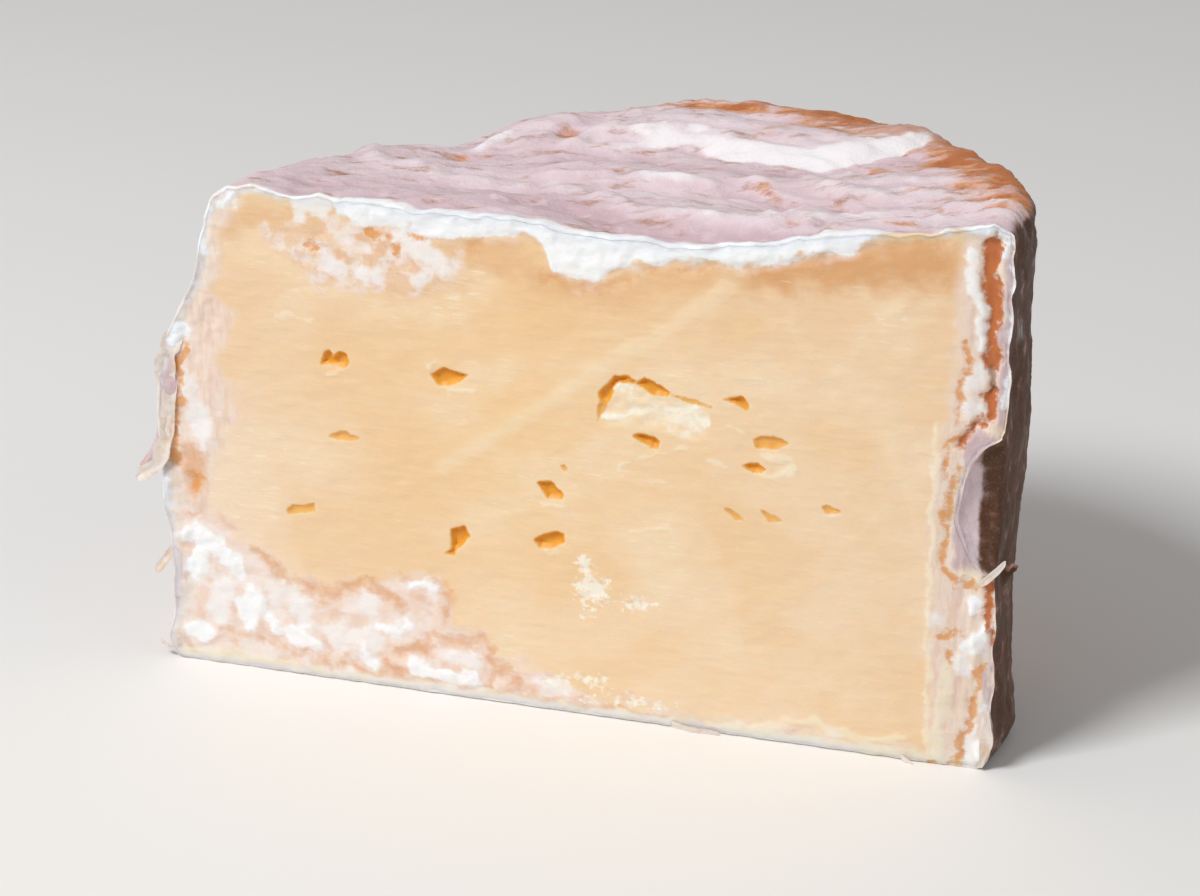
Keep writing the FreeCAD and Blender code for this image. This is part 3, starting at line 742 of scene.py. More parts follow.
def face_relief(across, up, fields):
    """How far the cut stands proud of its plane at points given in mm."""
    at = on_face(across, up)
    curd = lumps(at, (1.6, 1.0, 0.8), 4, 21)
    drag = lumps(at, (2.6, 1.0, 0.42), 2, 22)
    fluff = lumps(at, 1.2, 4, 23)
    mould = np.maximum(rise(fields["white"], -0.2, 0.3), 0.6 * rise(fields["chalk"], -0.3, 1.0))
    mould = np.maximum(mould, 0.5 * rise(fields["mottle"], 0.0, 1.0))
    proud = CURD_RISE * curd + DRAG_RISE * drag * (1.0 - rise(mould, 0.2, 0.8))
    proud += MOULD_RISE * mould * (0.3 + fluff) + STREAK_RISE * fields["streak"]
    for name, (amount, soft) in PROUD.items():
        proud += amount * rise(fields[name], -soft, soft)
    proud += SMEAR_LUMPS * rise(fields["smear"], -0.5, 0.5) * lumps(at, (1.2, 1.0, 0.7), 3, 24)
    proud += FLECK_LUMPS * rise(fields["bubbles_and_highlights"], -0.3, 0.3) * lumps(at, (0.7, 1.0, 0.5), 2, 28)
    at_left = rise(fields["soft_rind"], 0.0, 1.4) * (across < 0.0)
    proud += SOFT_RISE * at_left * lumps(at, (1.3, 1.0, 2.0), 3, 29)
    at_side = rise(across - along(up, PASTE_RIGHT_END), 0.0, CORNER_WIDTH)
    upright = lumps(at, (0.7, 1.0, 3.4), 3, 27)
    return proud + at_side * (UPRIGHT_RISE * upright - CORNER_ROLL)


proud = face_relief(face_across, face_up, fields)
print("relief of the cut in mm:", round(proud.min(), 2), "to", round(proud.max(), 2))

# %% Shape the front and close the slab
SLAB_BACK, SLAB_TAPER = 2.6, 0.915
EYE_BLEND = (-0.12, 0.05)

smooth_part = 1.0 - rise(eye, *EYE_BLEND)
at = on_face(face_across, face_up)
crumbled = hollow * (1.0 + 0.2 * lumps(at, 0.7, 3, 25))
front = np.stack([face_across, crumbled - proud * smooth_part, face_up], axis=1)
set_points(paste_mesh, front)
add_fields(paste_mesh, dict(fields, eye=eye, eye_height=eye_height, eye_tone=eye_tone))

slab = bmesh.new()
slab.from_mesh(paste_mesh)
edge = bmesh.ops.extrude_edge_only(slab, edges=open_edges(slab))["geom"]
pushed_back = [item for item in edge if isinstance(item, bmesh.types.BMVert)]
bmesh.ops.translate(slab, verts=pushed_back, vec=(0, SLAB_BACK * MM, 0))
centre = Vector(in_m((MIDDLE[0], 0.0, MIDDLE[1])))
bmesh.ops.scale(slab, verts=pushed_back, vec=(SLAB_TAPER, 1.0, SLAB_TAPER),
                space=Matrix.Translation(-centre))
hidden_back = bmesh.ops.holes_fill(slab, edges=open_edges(slab), sides=0)["faces"]
bmesh.ops.triangulate(slab, faces=hidden_back)
bmesh.ops.recalc_face_normals(slab, faces=slab.faces)
slab.to_mesh(paste_mesh)
print("paste:", len(slab.faces), "faces,", len(open_edges(slab)), "open edges")
slab.free()
paste = link("paste", paste_mesh)

# %% [markdown]
# ## Fields of the skin
#
# The skin needs its own fields: where the mould is thick and white, where it lies thin and
# lavender, and where the orange-brown skin shows through, at the back right of the top, along
# the right rim and down the right side. The felt field also carries painted light: the slope
# behind the crease and the crests of the folds are painted whiter as highlight, and a band behind
# the front edge, a drift at the left and the fold valleys are painted lavender as shade. The
# right side is painted dark brown, partly the skin and partly painted shadow. The mould on the
# rest of the side is patchy, as it is where a wheel was turned and handled. The thin edge of the
# cut belongs to the rind piece but takes the colours of the cut.

# %% Store the skin's fields
WHITE_SPOTS = (((0.9, 11.9), (3.6, 11.6)), ((1.4, 9.4), (3.0, 9.2)), ((4.4, 5.6), (6.6, 5.5)),
               ((8.0, 3.4), (12.0, 3.2)), ((15.0, 3.4), (18.4, 4.9)), ((-2.6, 20.4), (-1.2, 19.6)),
               ((-21.6, 8.2), (-20.2, 12.0)), ((-14.6, 18.4), (-13.0, 20.4)),
               ((24.4, 5.0), (28.0, 5.0)))
TOP_SPOTS = ((9.9, 10.6, 1.1, 0.5, -35), (13.7, 2.6, 0.7, 0.5, 0), (16.7, 15.3, 1.0, 0.6, 0),
             (21.4, 8.6, 1.2, 0.7, 0), (21.8, 15.6, 1.2, 0.8, -30), (19.6, 3.5, 0.9, 0.4, 0),
             (22.7, 3.1, 1.0, 0.4, 10), (21.2, 1.5, 1.4, 0.4, 0), (-14.4, 16.6, 1.6, 0.9, 30),
             (-8.4, 21.4, 0.9, 0.8, 0), (26.2, 3.7, 0.9, 0.3, 5))
BACK_STREAKS = (((6.8, 20.9), (9.4, 23.0)), ((8.4, 21.8), (12.4, 24.4)),
                ((11.0, 21.6), (15.0, 24.2)),
                ((13.6, 21.2), (17.0, 22.8)), ((16.6, 20.8), (19.0, 21.2)),
                ((10.0, 25.9), (14.0, 25.0)),
                ((-1.0, 26.2), (4.0, 27.0)), ((20.6, 16.0), (22.6, 17.4)),
                ((23.6, 11.2), (25.4, 12.8)),
                ((25.2, 8.0), (27.0, 9.4)))
SHADED = ((-6.1, 3.4), (1.2, 1.9), (5.8, 1.1), (13.0, 1.0))
LEFT_SHADE = ((-24.0, 3.4), (-12.6, 5.4), (-4.0, 6.0))
OVER_THE_EDGE = (0.1, 0.75)
# Weights of the felt field, which holds real mould cover and painted light: the slope and fold
# crests are painted whiter as highlight, the band behind the front edge, the left drift and the
# fold valleys lavender as shade.
SLOPE_HIGHLIGHT, SPOT_FELT, FOLD_SHADING = 1.4, 0.5, 0.4
EDGE_FELT, PAINTED_SHADE, SMALL_FOLD_SHADING = 1.6, 0.75, 0.25
RING_STAIN, STREAK_STAIN, SPOT_STAIN, RIM_STAIN, FAR_STAIN = 0.85, 0.55, 0.5, 0.2, 0.35
SIDE_STAIN, RIGHT_STAIN, DRIFT_STAIN, DENT_CLEAN = 0.3, 0.6, 0.35, 1.3
DENT_BACK = 4.0
DENT, DENT_LEAN, DENT_END = (15.0, 25.5), 0.32, (27.5, 28.1)

points = mesh_points(skin_mesh)
across, back, up = points.T
angle = np.arctan2(np.maximum(back, 0.0), across)
degrees = np.degrees(angle)
original = len(relief)
edge_count = len(points) - original


def with_edge(values):
    """Skin values, with zeros for the new points of the cut's edge."""
    return np.append(values, np.zeros(edge_count))


on_top = with_edge(topness)
from_rim = np.interp(angle, middles, rim_reach) - np.hypot(across, back)
behind = back - along(across, CREASE)
span = rise(across, -7.0, 1.0) * (1.0 - rise(across, 17.5, 20.5))
# The slope behind the crease is painted whiter: a painted highlight on the slope that faces the
# light.
painted_slope_highlight = rise(behind, -0.15, 0.6) * (1.0 - rise(behind, 0.8, 3.9)) * span
painted_slope_highlight *= 0.75 + 0.6 * rise(across, 3.0, 12.0)
spots = np.max([np.exp(-(to_path(across, back, path) / 0.8) ** 2) for path in WHITE_SPOTS], axis=0)
# A band just behind the front edge and a drift at the left are painted lavender: painted shade.
shaded = np.exp(-(to_path(across, back, SHADED) / 1.5) ** 2)
shaded += 0.7 * np.exp(-(to_path(across, back, LEFT_SHADE) / 2.6) ** 2)
at_edge = 1.0 - rise(back, *OVER_THE_EDGE)
band_side = rise(across, -19.5, -18.0) * (1.0 - rise(across, 20.0, 22.0))
# Fold crests are painted whiter and fold valleys lavender: painted highlight and painted shade.
felt_cover = SLOPE_HIGHLIGHT * painted_slope_highlight + SPOT_FELT * spots + FOLD_SHADING * with_edge(ridge)
felt_cover -= FOLD_SHADING * with_edge(valley)
felt_cover += EDGE_FELT * at_edge * band_side - PAINTED_SHADE * shaded * on_top * (1.0 - at_edge)
felt_cover += SMALL_FOLD_SHADING * with_edge(small - FOLD_MEAN) * on_top

rim_ring = 1.0 - rise(from_rim, 0.8, 5.2)
right_part = rise(degrees, 3.0, 14.0) * (1.0 - rise(degrees, 92.0, 118.0))
far_right = ((1.0 - rise(from_rim, 2.0, 9.0)) * rise(degrees, 0.0, 10.0)
             * (1.0 - rise(degrees, 60.0, 90.0)))
streaks = np.max([np.exp(-(to_path(across, back, path) / 0.9) ** 2) for path in BACK_STREAKS],
                 axis=0)
top_spots = rise(np.max([in_oval(across, back, oval) for oval in TOP_SPOTS], axis=0), -0.4, 0.3)
stain = on_top * (RING_STAIN * rim_ring * right_part + STREAK_STAIN * streaks
                  + SPOT_STAIN * top_spots)
stain += on_top * (RIM_STAIN * (1.0 - rise(from_rim, 0.0, 1.4)) + FAR_STAIN * far_right)
right_side = 1.0 - rise(degrees, 5.0, 115.0)
unrolled = np.stack([angle * WHEEL_RADIUS, up, 0.3 * back], axis=1)
drifts = lumps(unrolled, 7.0, 3, 35)
stain += (1.0 - on_top) * (SIDE_STAIN + RIGHT_STAIN * right_side + DRIFT_STAIN * drifts)
in_dent = rise(up, DENT[0] - 1.0, DENT[0] + 0.4) * (1.0 - rise(up, DENT[1] - 0.6, DENT[1] + 0.6))
in_dent *= (1.0 - rise(across + DENT_LEAN * back,
                       *DENT_END)) * (across > 20.0) * (back < DENT_BACK)
stain -= DENT_CLEAN * in_dent
felt_cover += 0.25 * in_dent * lumps(points, (0.4, 0.4, 2.6), 3, 34)

skin_fields = face_fields(across, up)
skin_fields["inside"] = np.zeros(len(points))
ring = (back < 0.2) & (np.arange(len(points)) >= original)
points[:, 1] -= np.where(ring, face_relief(across, up, skin_fields), 0.0)
set_points(skin_mesh, points)
no_eye = np.zeros(len(points))
# The right side is painted dark brown: partly the skin's own colour, partly painted shadow.
skin_fields.update(eye=no_eye - EYE_FADE, eye_height=no_eye, eye_tone=no_eye,
                   felt_cover=felt_cover, stain=stain, crest=with_edge(relief),
                   bare=(1.0 - on_top) * (1.0 - rise(degrees, 6.0, 46.0)) * (1.0 - in_dent))
add_fields(skin_mesh, skin_fields)
print("skin points:", len(points), "of which", edge_count, "belong to the edge")

# %% [markdown]
# ## Colours and a helper for nodes
#
# Colours are written as sRGB hex, as a maker would match them against a swatch, and turned
# to the linear values that the shader works with. One helper adds any node: its settings are
# keyword arguments, and its inputs are either numbers or sockets to link.

# %% Colour and node helpers
def to_linear(code):
    """An sRGB hex colour as linear red, green, blue and alpha."""
    parts = [int(code[start:start + 2], 16) / 255.0 for start in (1, 3, 5)]
    return [p / 12.92 if p <= 0.04045 else ((p + 0.055) / 1.055) ** 2.4 for p in parts] + [1.0]


def add(tree, kind, inputs=None, **settings):
    """Add a node to a tree, with its settings and its inputs' numbers or links."""
    made = tree.nodes.new(kind)
    for name, value in settings.items():
        setattr(made, name, value)
    for name, value in (inputs or {}).items():
        if isinstance(value, bpy.types.NodeSocket):
            tree.links.new(value, made.inputs[name])
        else:
            made.inputs[name].default_value = value
    return made


def show(tree, shader):
    """Make a shader what the material shows."""
    add(tree, "ShaderNodeOutputMaterial", {"Surface": shader.outputs[0]})


def new_material(name):
    made = bpy.data.materials.new(name)
    made.use_nodes = True
    made.node_tree.nodes.clear()
    return made, made.node_tree


def noises(tree, table):
    """Noise textures by name from (size in mm along x, y and z; detail; roughness)."""
    place = add(tree, "ShaderNodeTexCoord").outputs["Object"]
    made = {}
    for name, (size, detail, roughness) in table.items():
        scaled = add(tree, "ShaderNodeMapping", {"Vector": place,
                     "Scale": [1.0 / (side * MM) for side in size]})
        made[name] = add(tree, "ShaderNodeTexNoise",
                         {"Vector": scaled.outputs[0], "Scale": 1.0, "Detail": detail,
                          "Roughness": roughness}).outputs["Fac"]
    return made


def masks(tree, textures, table):
    """Masks by name from (field, texture, push, level, softness); minus turns one round."""
    made = {}
    for name, (field, texture, push, level, soft) in table.items():
        value = add(tree, "ShaderNodeAttribute", attribute_name=field).outputs["Fac"]
        pushed = add(tree, "ShaderNodeMath", {0: textures[texture], 1: push, 2: value},
                     operation="MULTIPLY_ADD").outputs[0]
        middle = level + 0.5 * push
        made[name] = add(tree, "ShaderNodeMapRange",
                         {"Value": pushed, "From Min": middle - soft, "From Max": middle + soft},
                         interpolation_type="SMOOTHSTEP").outputs[0]
    return made


def stretched(tree, value, start, end):
    """0 where a value is at the start, 1 at the end, and a soft step between."""
    return add(tree, "ShaderNodeMapRange", {"Value": value, "From Min": start, "From Max": end},
               interpolation_type="SMOOTHSTEP").outputs[0]


def both(tree, first, second):
    """Where two masks overlap."""
    return add(tree, "ShaderNodeMath", {0: first, 1: second}, operation="MULTIPLY").outputs[0]


def paint(tree, colour, found, layers):
    """Lay colours over each other: (mask, strength, hex), one after another."""
    below = to_linear(colour) if isinstance(colour, str) else colour
    for mask, strength, code in layers:
        amount = add(tree, "ShaderNodeMath", {0: found[mask], 1: strength},
                     operation="MULTIPLY", use_clamp=True).outputs[0]
        below = add(tree, "ShaderNodeMix", {0: amount, 6: below, 7: to_linear(code)},
                    data_type="RGBA").outputs[2]
    return below


def roughened(tree, textures, table):
    """Bumps of (texture, height in mm) on top of each other, as a normal."""
    bump = None
    for texture, height in table:
        inputs = {"Height": textures[texture], "Distance": height * MM, "Strength": 1.0}
        if bump:
            inputs["Normal"] = bump
        bump = add(tree, "ShaderNodeBump", inputs).outputs[0]
    return bump


# %% [markdown]
# ## The paste
#
# Camembert paste is milk fat, protein and water. Light goes a millimetre or two into it before
# it comes out, so it glows softly, and a fresh cut is slightly moist. The principled shader's
# subsurface does the glow. Its base colour is built in layers, as a painter would: the pale
# straw ground, the darker ripe layer under the rind, chalky mould, amber lines, then the
# orange walls of the eyes.

# %% Ripe cheese paste and cut rind
GROUND = ((0.06, "#f3dcc8"), (0.16, "#f3d6b4"), (0.45, "#f6d2a2"), (0.75, "#f5d8b4"),
          (0.92, "#f4d8b6"))

paste_look, tree = new_material("ripe soft cheese paste")
textures = noises(tree, {
    "cloud": ((9.0, 9.0, 7.0), 3.0, 0.5),
    "patch": ((2.2, 2.2, 1.7), 4.0, 0.55),
    "lobes": ((1.7, 1.7, 1.3), 4.0, 0.55),
    "ragged": ((0.7, 0.7, 0.6), 4.0, 0.6),
    "grain": ((0.22, 0.22, 0.2), 3.0, 0.6),
    "drag": ((2.4, 1.0, 0.3), 4.0, 0.55),
    "fleck": ((1.3, 1.0, 0.16), 3.0, 0.5),
    "bubble": ((0.5, 0.5, 0.38), 2.0, 0.5),
    "upright": ((0.45, 0.45, 2.4), 4.0, 0.6),
})
place = add(tree, "ShaderNodeTexCoord").outputs["Object"]
split = add(tree, "ShaderNodeSeparateXYZ", {0: place})
sideways = add(tree, "ShaderNodeMapRange",
               {"Value": split.outputs["X"], "From Min": low.x, "From Max": high.x}).outputs[0]
upward = add(tree, "ShaderNodeMapRange",
             {"Value": split.outputs["Z"], "From Min": 0.0, "From Max": high.z}).outputs[0]
ground = add(tree, "ShaderNodeValToRGB", {0: sideways})
for index, (position, code) in enumerate(GROUND):
    stop = ground.color_ramp.elements[index] if index < 2 else \
        ground.color_ramp.elements.new(position)
    stop.position = position
    stop.color = to_linear(code)

found = masks(tree, textures, {
    "white": ("white", "lobes", 2.2, 0.0, 0.24), "white_halo": ("white", "lobes", 2.8, -0.4, 0.6),
    "soft_white": ("soft_white", "lobes", 2.4, -0.05, 0.4),
    "seam": ("seam", "ragged", 0.9, 0.0, 0.2),
    "pale": ("pale", "drag", 0.5, 0.0, 0.14),
    "chalk": ("chalk", "patch", 3.6, 0.0, 0.8), "mottle": ("mottle", "lobes", 2.6, 0.0, 0.7),
    "rind": ("soft_rind", "patch", 2.6, 0.0, 0.6), "ripe": ("ripe", "patch", 3.4, 0.0, 1.3),
    "under": ("under", "patch", 1.8, 0.0, 0.7), "tan": ("tan", "ragged", 1.8, 0.0, 0.5),
    "ochre": ("ochre", "ragged", 1.5, 0.0, 0.22), "orange": ("orange", "ragged", 1.4, 0.0, 0.2),
    "dark": ("dark", "grain", 0.2, 0.0, 0.15), "lavender": ("lavender", "upright", 1.8, 0.0, 0.3),
    "cream": ("cream", "ragged", 0.7, 0.0, 0.2), "smear": ("smear", "ragged", 1.0, 0.0, 0.35),
    "gloss_and_highlight": ("gloss_and_highlight", "grain", 0.15, 0.0, 0.08), "streak": ("streak", "drag", 0.6, 0.5, 0.4),
    "bubbles_and_highlights": ("bubbles_and_highlights", "bubble", 2.6, 0.3, 0.3), "eye": ("eye", "grain", 0.15, -0.02, 0.1),
    "eye_lip": ("eye", "grain", 0.1, -0.16, 0.1),
    # The roof of each eye is painted darker: painted shade on its upper wall.
    "eye_roof_shade": ("eye_height", "grain", 0.2, 0.6, 0.35),
    "eye_shallow": ("eye_tone", "grain", 0.1, 0.55, -0.2),
    "edge": ("inside", "lobes", 2.0, 0.35, -0.3),
})
for name, texture, start, end in (
        ("pale_fleck", "fleck", 0.59, 0.69), ("drag_pale", "drag", 0.5, 0.75),
        ("drag_deep", "drag", 0.45, 0.25), ("cloud", "cloud", 0.48, 0.62),
        ("haze", "cloud", 0.48, 0.36),
        ("speck", "grain", 0.58, 0.8), ("blotch", "patch", 0.5, 0.66),
        ("pore", "ragged", 0.42, 0.3), ("rag", "ragged", 0.47, 0.62), ("lump", "lobes", 0.44, 0.6),
        ("stripe", "upright", 0.46, 0.6)):
    found[name] = stretched(tree, textures[texture], start, end)
found["low_down"] = stretched(tree, upward, 0.5, 0.12)
found["high_up"] = stretched(tree, upward, 0.62, 0.86)
found["cheek"] = stretched(tree, sideways, 0.86, 0.82)
for name, first, second in (("eye_roof_shade", "eye", "eye_roof_shade"), ("eye_shallow", "eye", "eye_shallow"),
                            ("chalk_blotch", "chalk", "blotch"), ("white_pore", "white", "pore"),
                            ("mottle_rag", "mottle", "rag"), ("mottle_lump", "mottle", "lump"),
                            ("chalk_lump", "chalk", "lump"), ("stripe", "stripe", "rind"),
                            ("edge", "edge", "cheek"), ("pale_fleck", "pale_fleck", "haze"),
                            ("smear_lump", "smear", "lump")):
    found[name] = both(tree, found[first], found[second])

colour = paint(tree, ground.outputs[0], found, (
    ("low_down", 0.6, "#f8dfc0"), ("high_up", 0.5, "#eec79a"), ("cloud", 0.4, "#f1c994"),
    ("haze", 0.4, "#f9e4c6"),
    ("drag_pale", 0.2, "#fae5c4"), ("drag_deep", 0.12, "#ebc694"),
    ("under", 0.55, "#e6b98a"), ("ripe", 0.8, "#dca269"), ("streak", 0.5, "#fae5c4"),
    ("pale_fleck", 0.5, "#fdf1dc"),
    ("smear", 0.5, "#fbe9cc"), ("smear_lump", 0.6, "#fffaf0"), ("rind", 0.8, "#f2dfd4"),
    ("stripe", 0.5, "#e8c8b0"),
    ("mottle", 0.75, "#efd0b4"), ("mottle_lump", 0.75, "#f6ebe6"), ("mottle_rag", 0.4, "#dfae88"),
    ("chalk", 0.85, "#f3ddd1"), ("chalk_blotch", 0.7, "#e8c2ab"), ("chalk_lump", 0.5, "#f8f1ef"),
    # The lavender is white mould painted with its shade.
    ("tan", 0.65, "#e3a873"), ("lavender", 0.75, "#cbb0b9"), ("cream", 0.7, "#f4ead2"),
    ("edge", 0.75, "#f4e9e5"), ("white_halo", 0.45, "#f6ebe6"), ("soft_white", 0.85, "#f8f3f1"),
    ("ochre", 0.8, "#e39a4a"), ("white", 1.0, "#fefeff"), ("white_pore", 0.2, "#e6dcda"),
    # The dark brown is painted shade in a gap.
    ("orange", 0.94, "#c0651a"), ("seam", 0.95, "#fefaf7"), ("dark", 0.7, "#8a5634"),
    # The pale strokes and the pale ring round each eye are partly painted highlight, where light
    # catches a lip.
    ("pale", 0.5, "#fdf0d8"), ("eye_lip", 0.2, "#f9dfae"), ("eye", 1.0, "#f0a630"),
    # The eye roof colour is painted shade, and the gloss colour a painted highlight.
    ("eye_roof_shade", 0.7, "#e28b16"), ("eye_shallow", 0.6, "#f2c47c"), ("gloss_and_highlight", 0.8, "#fff8ea"),
    # The near-white of the bubbles is a painted highlight.
    ("bubbles_and_highlights", 0.8, "#fffaf0"), ("speck", 0.1, "#fff8ea"),
))
normal = roughened(tree, textures, (("drag", 0.025), ("ragged", 0.05), ("grain", 0.02)))
roughness = add(tree, "ShaderNodeMix", {0: found["chalk"], 2: 0.42, 3: 0.8}).outputs[0]
roughness = add(tree, "ShaderNodeMix", {0: found["gloss_and_highlight"], 2: roughness, 3: 0.2}).outputs[0]
glow_inside = add(tree, "ShaderNodeMix", {0: found["orange"], 2: 0.35, 3: 0.0}).outputs[0]
shader = add(tree, "ShaderNodeBsdfPrincipled", {
    "Base Color": colour, "Roughness": roughness, "Normal": normal, "IOR": 1.42,
    "Subsurface Weight": glow_inside, "Subsurface Radius": (1.0, 0.55, 0.25),
    "Subsurface Scale": 1.2 * MM})
show(tree, shader)
paste_mesh.materials.append(paste_look)
print("paste material:", len(tree.nodes), "nodes")

# %% [markdown]
# ## The bloomy rind
#
# The rind is a felt of white mould, dry and soft, which scatters light with a faint sheen and no
# gloss. Where it was handled or has worn thin, the orange-brown skin shows through in long
# streaks. Its lavender-grey ground is partly the mould's own tint and partly painted shade.
# Hollows and fold valleys are painted lavender as shade, and crests and the slope behind the
# crease are painted whiter as highlight. The dark brown down the right side is partly the skin
# and partly painted shadow.

# %% White mould over an orange-brown skin
rind_look, tree = new_material("bloomy white mould rind")
textures = noises(tree, {
    "drift": ((9.0, 4.0, 4.0), 4.0, 0.55),
    "patch": ((2.6, 2.0, 2.4), 5.0, 0.6),
    "streaky": ((3.4, 1.0, 2.2), 5.0, 0.65),
    "flecky": ((1.6, 0.6, 1.4), 5.0, 0.65),
    "felt": ((0.5, 0.5, 0.5), 5.0, 0.65),
    "nap": ((0.16, 0.16, 0.16), 3.0, 0.6),
})
found = masks(tree, textures, {
    # The white felt mask is real thick mould and painted highlight; the thin felt mask is real
    # thin mould and painted shade.
    "white_felt_and_highlight": ("felt_cover", "patch", 2.2, 0.8, 0.4),
    "thin_felt_and_shade": ("felt_cover", "drift", 2.0, -0.2, -0.5),
    "stained": ("stain", "streaky", 3.6, 0.6, 0.5),
    "stained_deep": ("stain", "flecky", 3.0, 0.85, 0.4),
    "bare": ("bare", "streaky", 2.4, 0.5, 0.5), "crest": ("crest", "felt", 0.3, 0.25, 0.2),
    "valley": ("crest", "felt", 0.3, -0.2, -0.2),
})
for name, texture, start, end in (("blotch", "patch", 0.5, 0.68), ("drift", "drift", 0.4, 0.7),
                                  ("nap", "nap", 0.5, 0.75), ("wispy", "flecky", 0.5, 0.66)):
    found[name] = stretched(tree, textures[texture], start, end)
# The lavender-grey ground is partly the mould's own tint and partly painted shade.
colour = paint(tree, "#e0cad0", found, (
    ("drift", 0.45, "#ead9df"), ("thin_felt_and_shade", 0.6, "#ceb1b9"), ("blotch", 0.35, "#dcc0c2"),
    # The valley and crest masks paint the relief's lows lavender and its highs whiter: painted
    # shade and painted highlight.
    ("valley", 0.5, "#c6a7ae"), ("wispy", 0.35, "#eee0e4"), ("stained", 0.92, "#dc9048"),
    ("stained_deep", 0.85, "#b46226"),
    # The near-black brown down the right side is partly painted shadow over the brown skin.
    ("crest", 0.3, "#f0e4e8"), ("bare", 0.95, "#45260f"), ("white_felt_and_highlight", 0.9, "#f8f4f6"),
    ("nap", 0.06, "#fbf8f8"),
))
normal = roughened(tree, textures, (("patch", 0.12), ("felt", 0.1), ("nap", 0.03)))
shader = add(tree, "ShaderNodeBsdfPrincipled", {
    "Base Color": colour, "Roughness": 0.85, "Normal": normal, "Sheen Weight": 0.1,
    "Subsurface Weight": 0.15, "Subsurface Radius": (1.0, 0.7, 0.5),
    "Subsurface Scale": 0.8 * MM})
show(tree, shader)
skin_mesh.materials.append(rind_look)
skin_mesh.materials.append(paste_look)
rind.data = skin_mesh
edge_points = set(range(original, len(skin_mesh.vertices)))
for face in skin_mesh.polygons:
    face.material_index = int(any(corner in edge_points for corner in face.vertices))
print("rind material:", len(tree.nodes), "nodes")

# %% [markdown]
# ## Loose rind at the cut
#
# The knife tears a few thin flaps, curls and threads of rind loose at the edge of the cut.
# Each is a ribbon: a grid from `create_grid` laid along a bent spine, narrow at its ends,
# and given its thickness with `solidify`. The widest hangs from the left side.

# %% Ribbons: a half width, and the (across, back, up) places of the spine
FLAKES = {
    "left lobe": (0.75, ((-31.2, 0.4, 26.2), (-32.0, 0.05, 24.8), (-32.3, 0.0, 23.0),
                         (-31.9, 0.3, 21.0))),
    "left flap": (0.6, ((-31.7, 0.3, 23.2), (-32.1, 0.0, 21.0), (-32.4, -0.1, 18.0),
                        (-33.2, -0.3, 15.8), (-34.9, -0.5, 14.6))),
    "spur": (0.17, ((27.9, 0.3, 14.1), (28.5, 0.15, 14.7), (29.1, 0.0, 15.4), (29.6, -0.1, 16.1))),
    "right flap": (0.36, ((28.8, 0.3, 4.6), (28.95, -0.05, 2.5), (28.6, 0.0, 0.5))),
    "foot flap": (0.3, ((-32.2, 0.2, 9.2), (-33.0, 0.0, 8.3), (-33.8, -0.3, 7.2))),
    "left thread": (0.12, ((-32.3, 0.3, 0.9), (-33.3, 0.0, 0.9), (-34.0, 0.1, 1.2))),
    "right thread": (0.1, ((22.6, 0.3, 0.5), (23.3, -0.3, 0.35), (23.9, -0.6, 0.14))),
    "flake": (0.2, ((5.2, 0.3, 0.4), (7.4, -0.4, 0.24), (9.8, -0.3, 0.2))),
}
LOOK_ALONG, WIDTH_WAVE, CUPPED, FLAKE_LOWEST = 0.4, 0.4, 0.3, 0.03
FLAKE_THICK, FLAKE_STEPS, FLAKE_SPLITS = 0.26, 28, 6
TIP, FLAKE_WAVE = 0.28, 0.12


def ribbon(shape, half_width, spine, seed):
    """Lay a grid along a spine, narrow at the ends and a little wavy, and thicken it."""
    stations = np.array(spine)
    lengths = np.append(0.0, np.cumsum(np.linalg.norm(np.diff(stations, axis=0), axis=1)))
    made = bmesh.ops.create_grid(shape, x_segments=FLAKE_STEPS, y_segments=FLAKE_SPLITS, size=0.5)
    share = np.array([v.co.x + 0.5 for v in made["verts"]])
    side = np.array([v.co.y * 2.0 for v in made["verts"]])
    ahead = share * lengths[-1]
    middle, further, earlier = (
        np.stack([np.interp(place, lengths, stations[:, axis]) for axis in range(3)], axis=1)
        for place in (ahead, ahead + LOOK_ALONG, ahead - LOOK_ALONG))
    tangent = (further - earlier) / np.linalg.norm(further - earlier, axis=1)[:, None]
    sideways = np.cross(tangent, (0.0, 1.0, 0.0))
    taper = TIP + (1.0 - TIP) * np.sqrt(np.clip(4.0 * share * (1.0 - share), 0.0, 1.0))
    wave = lumps(middle, 1.6, 2, 50 + seed)
    width = half_width * taper * (1.0 + WIDTH_WAVE * wave)
    placed = middle + sideways * (side * width)[:, None]
    curl = FLAKE_WAVE * lumps(placed, (1.0, 1.0, 1.6), 2, 60 + seed)
    placed[:, 1] += curl - CUPPED * width * side ** 2
    placed[:, 2] = np.maximum(placed[:, 2], FLAKE_LOWEST)
    for corner, spot in zip(made["verts"], in_m(placed)):
        corner.co = spot
    faces = {face for corner in made["verts"] for face in corner.link_faces}
    bmesh.ops.solidify(shape, geom=list(faces), thickness=FLAKE_THICK * MM)


shape = bmesh.new()
for seed, (half_width, spine) in enumerate(FLAKES.values()):
    ribbon(shape, half_width, spine, seed)
for corner in shape.verts:
    corner.co.z = max(corner.co.z, 0.0)
bmesh.ops.recalc_face_normals(shape, faces=shape.faces)
print("loose rind:", len(shape.faces), "faces,", len(open_edges(shape)), "open edges")
flake_mesh = bpy.data.meshes.new("loose rind")
shape.to_mesh(flake_mesh)
shape.free()
flakes = link("loose_rind", flake_mesh)

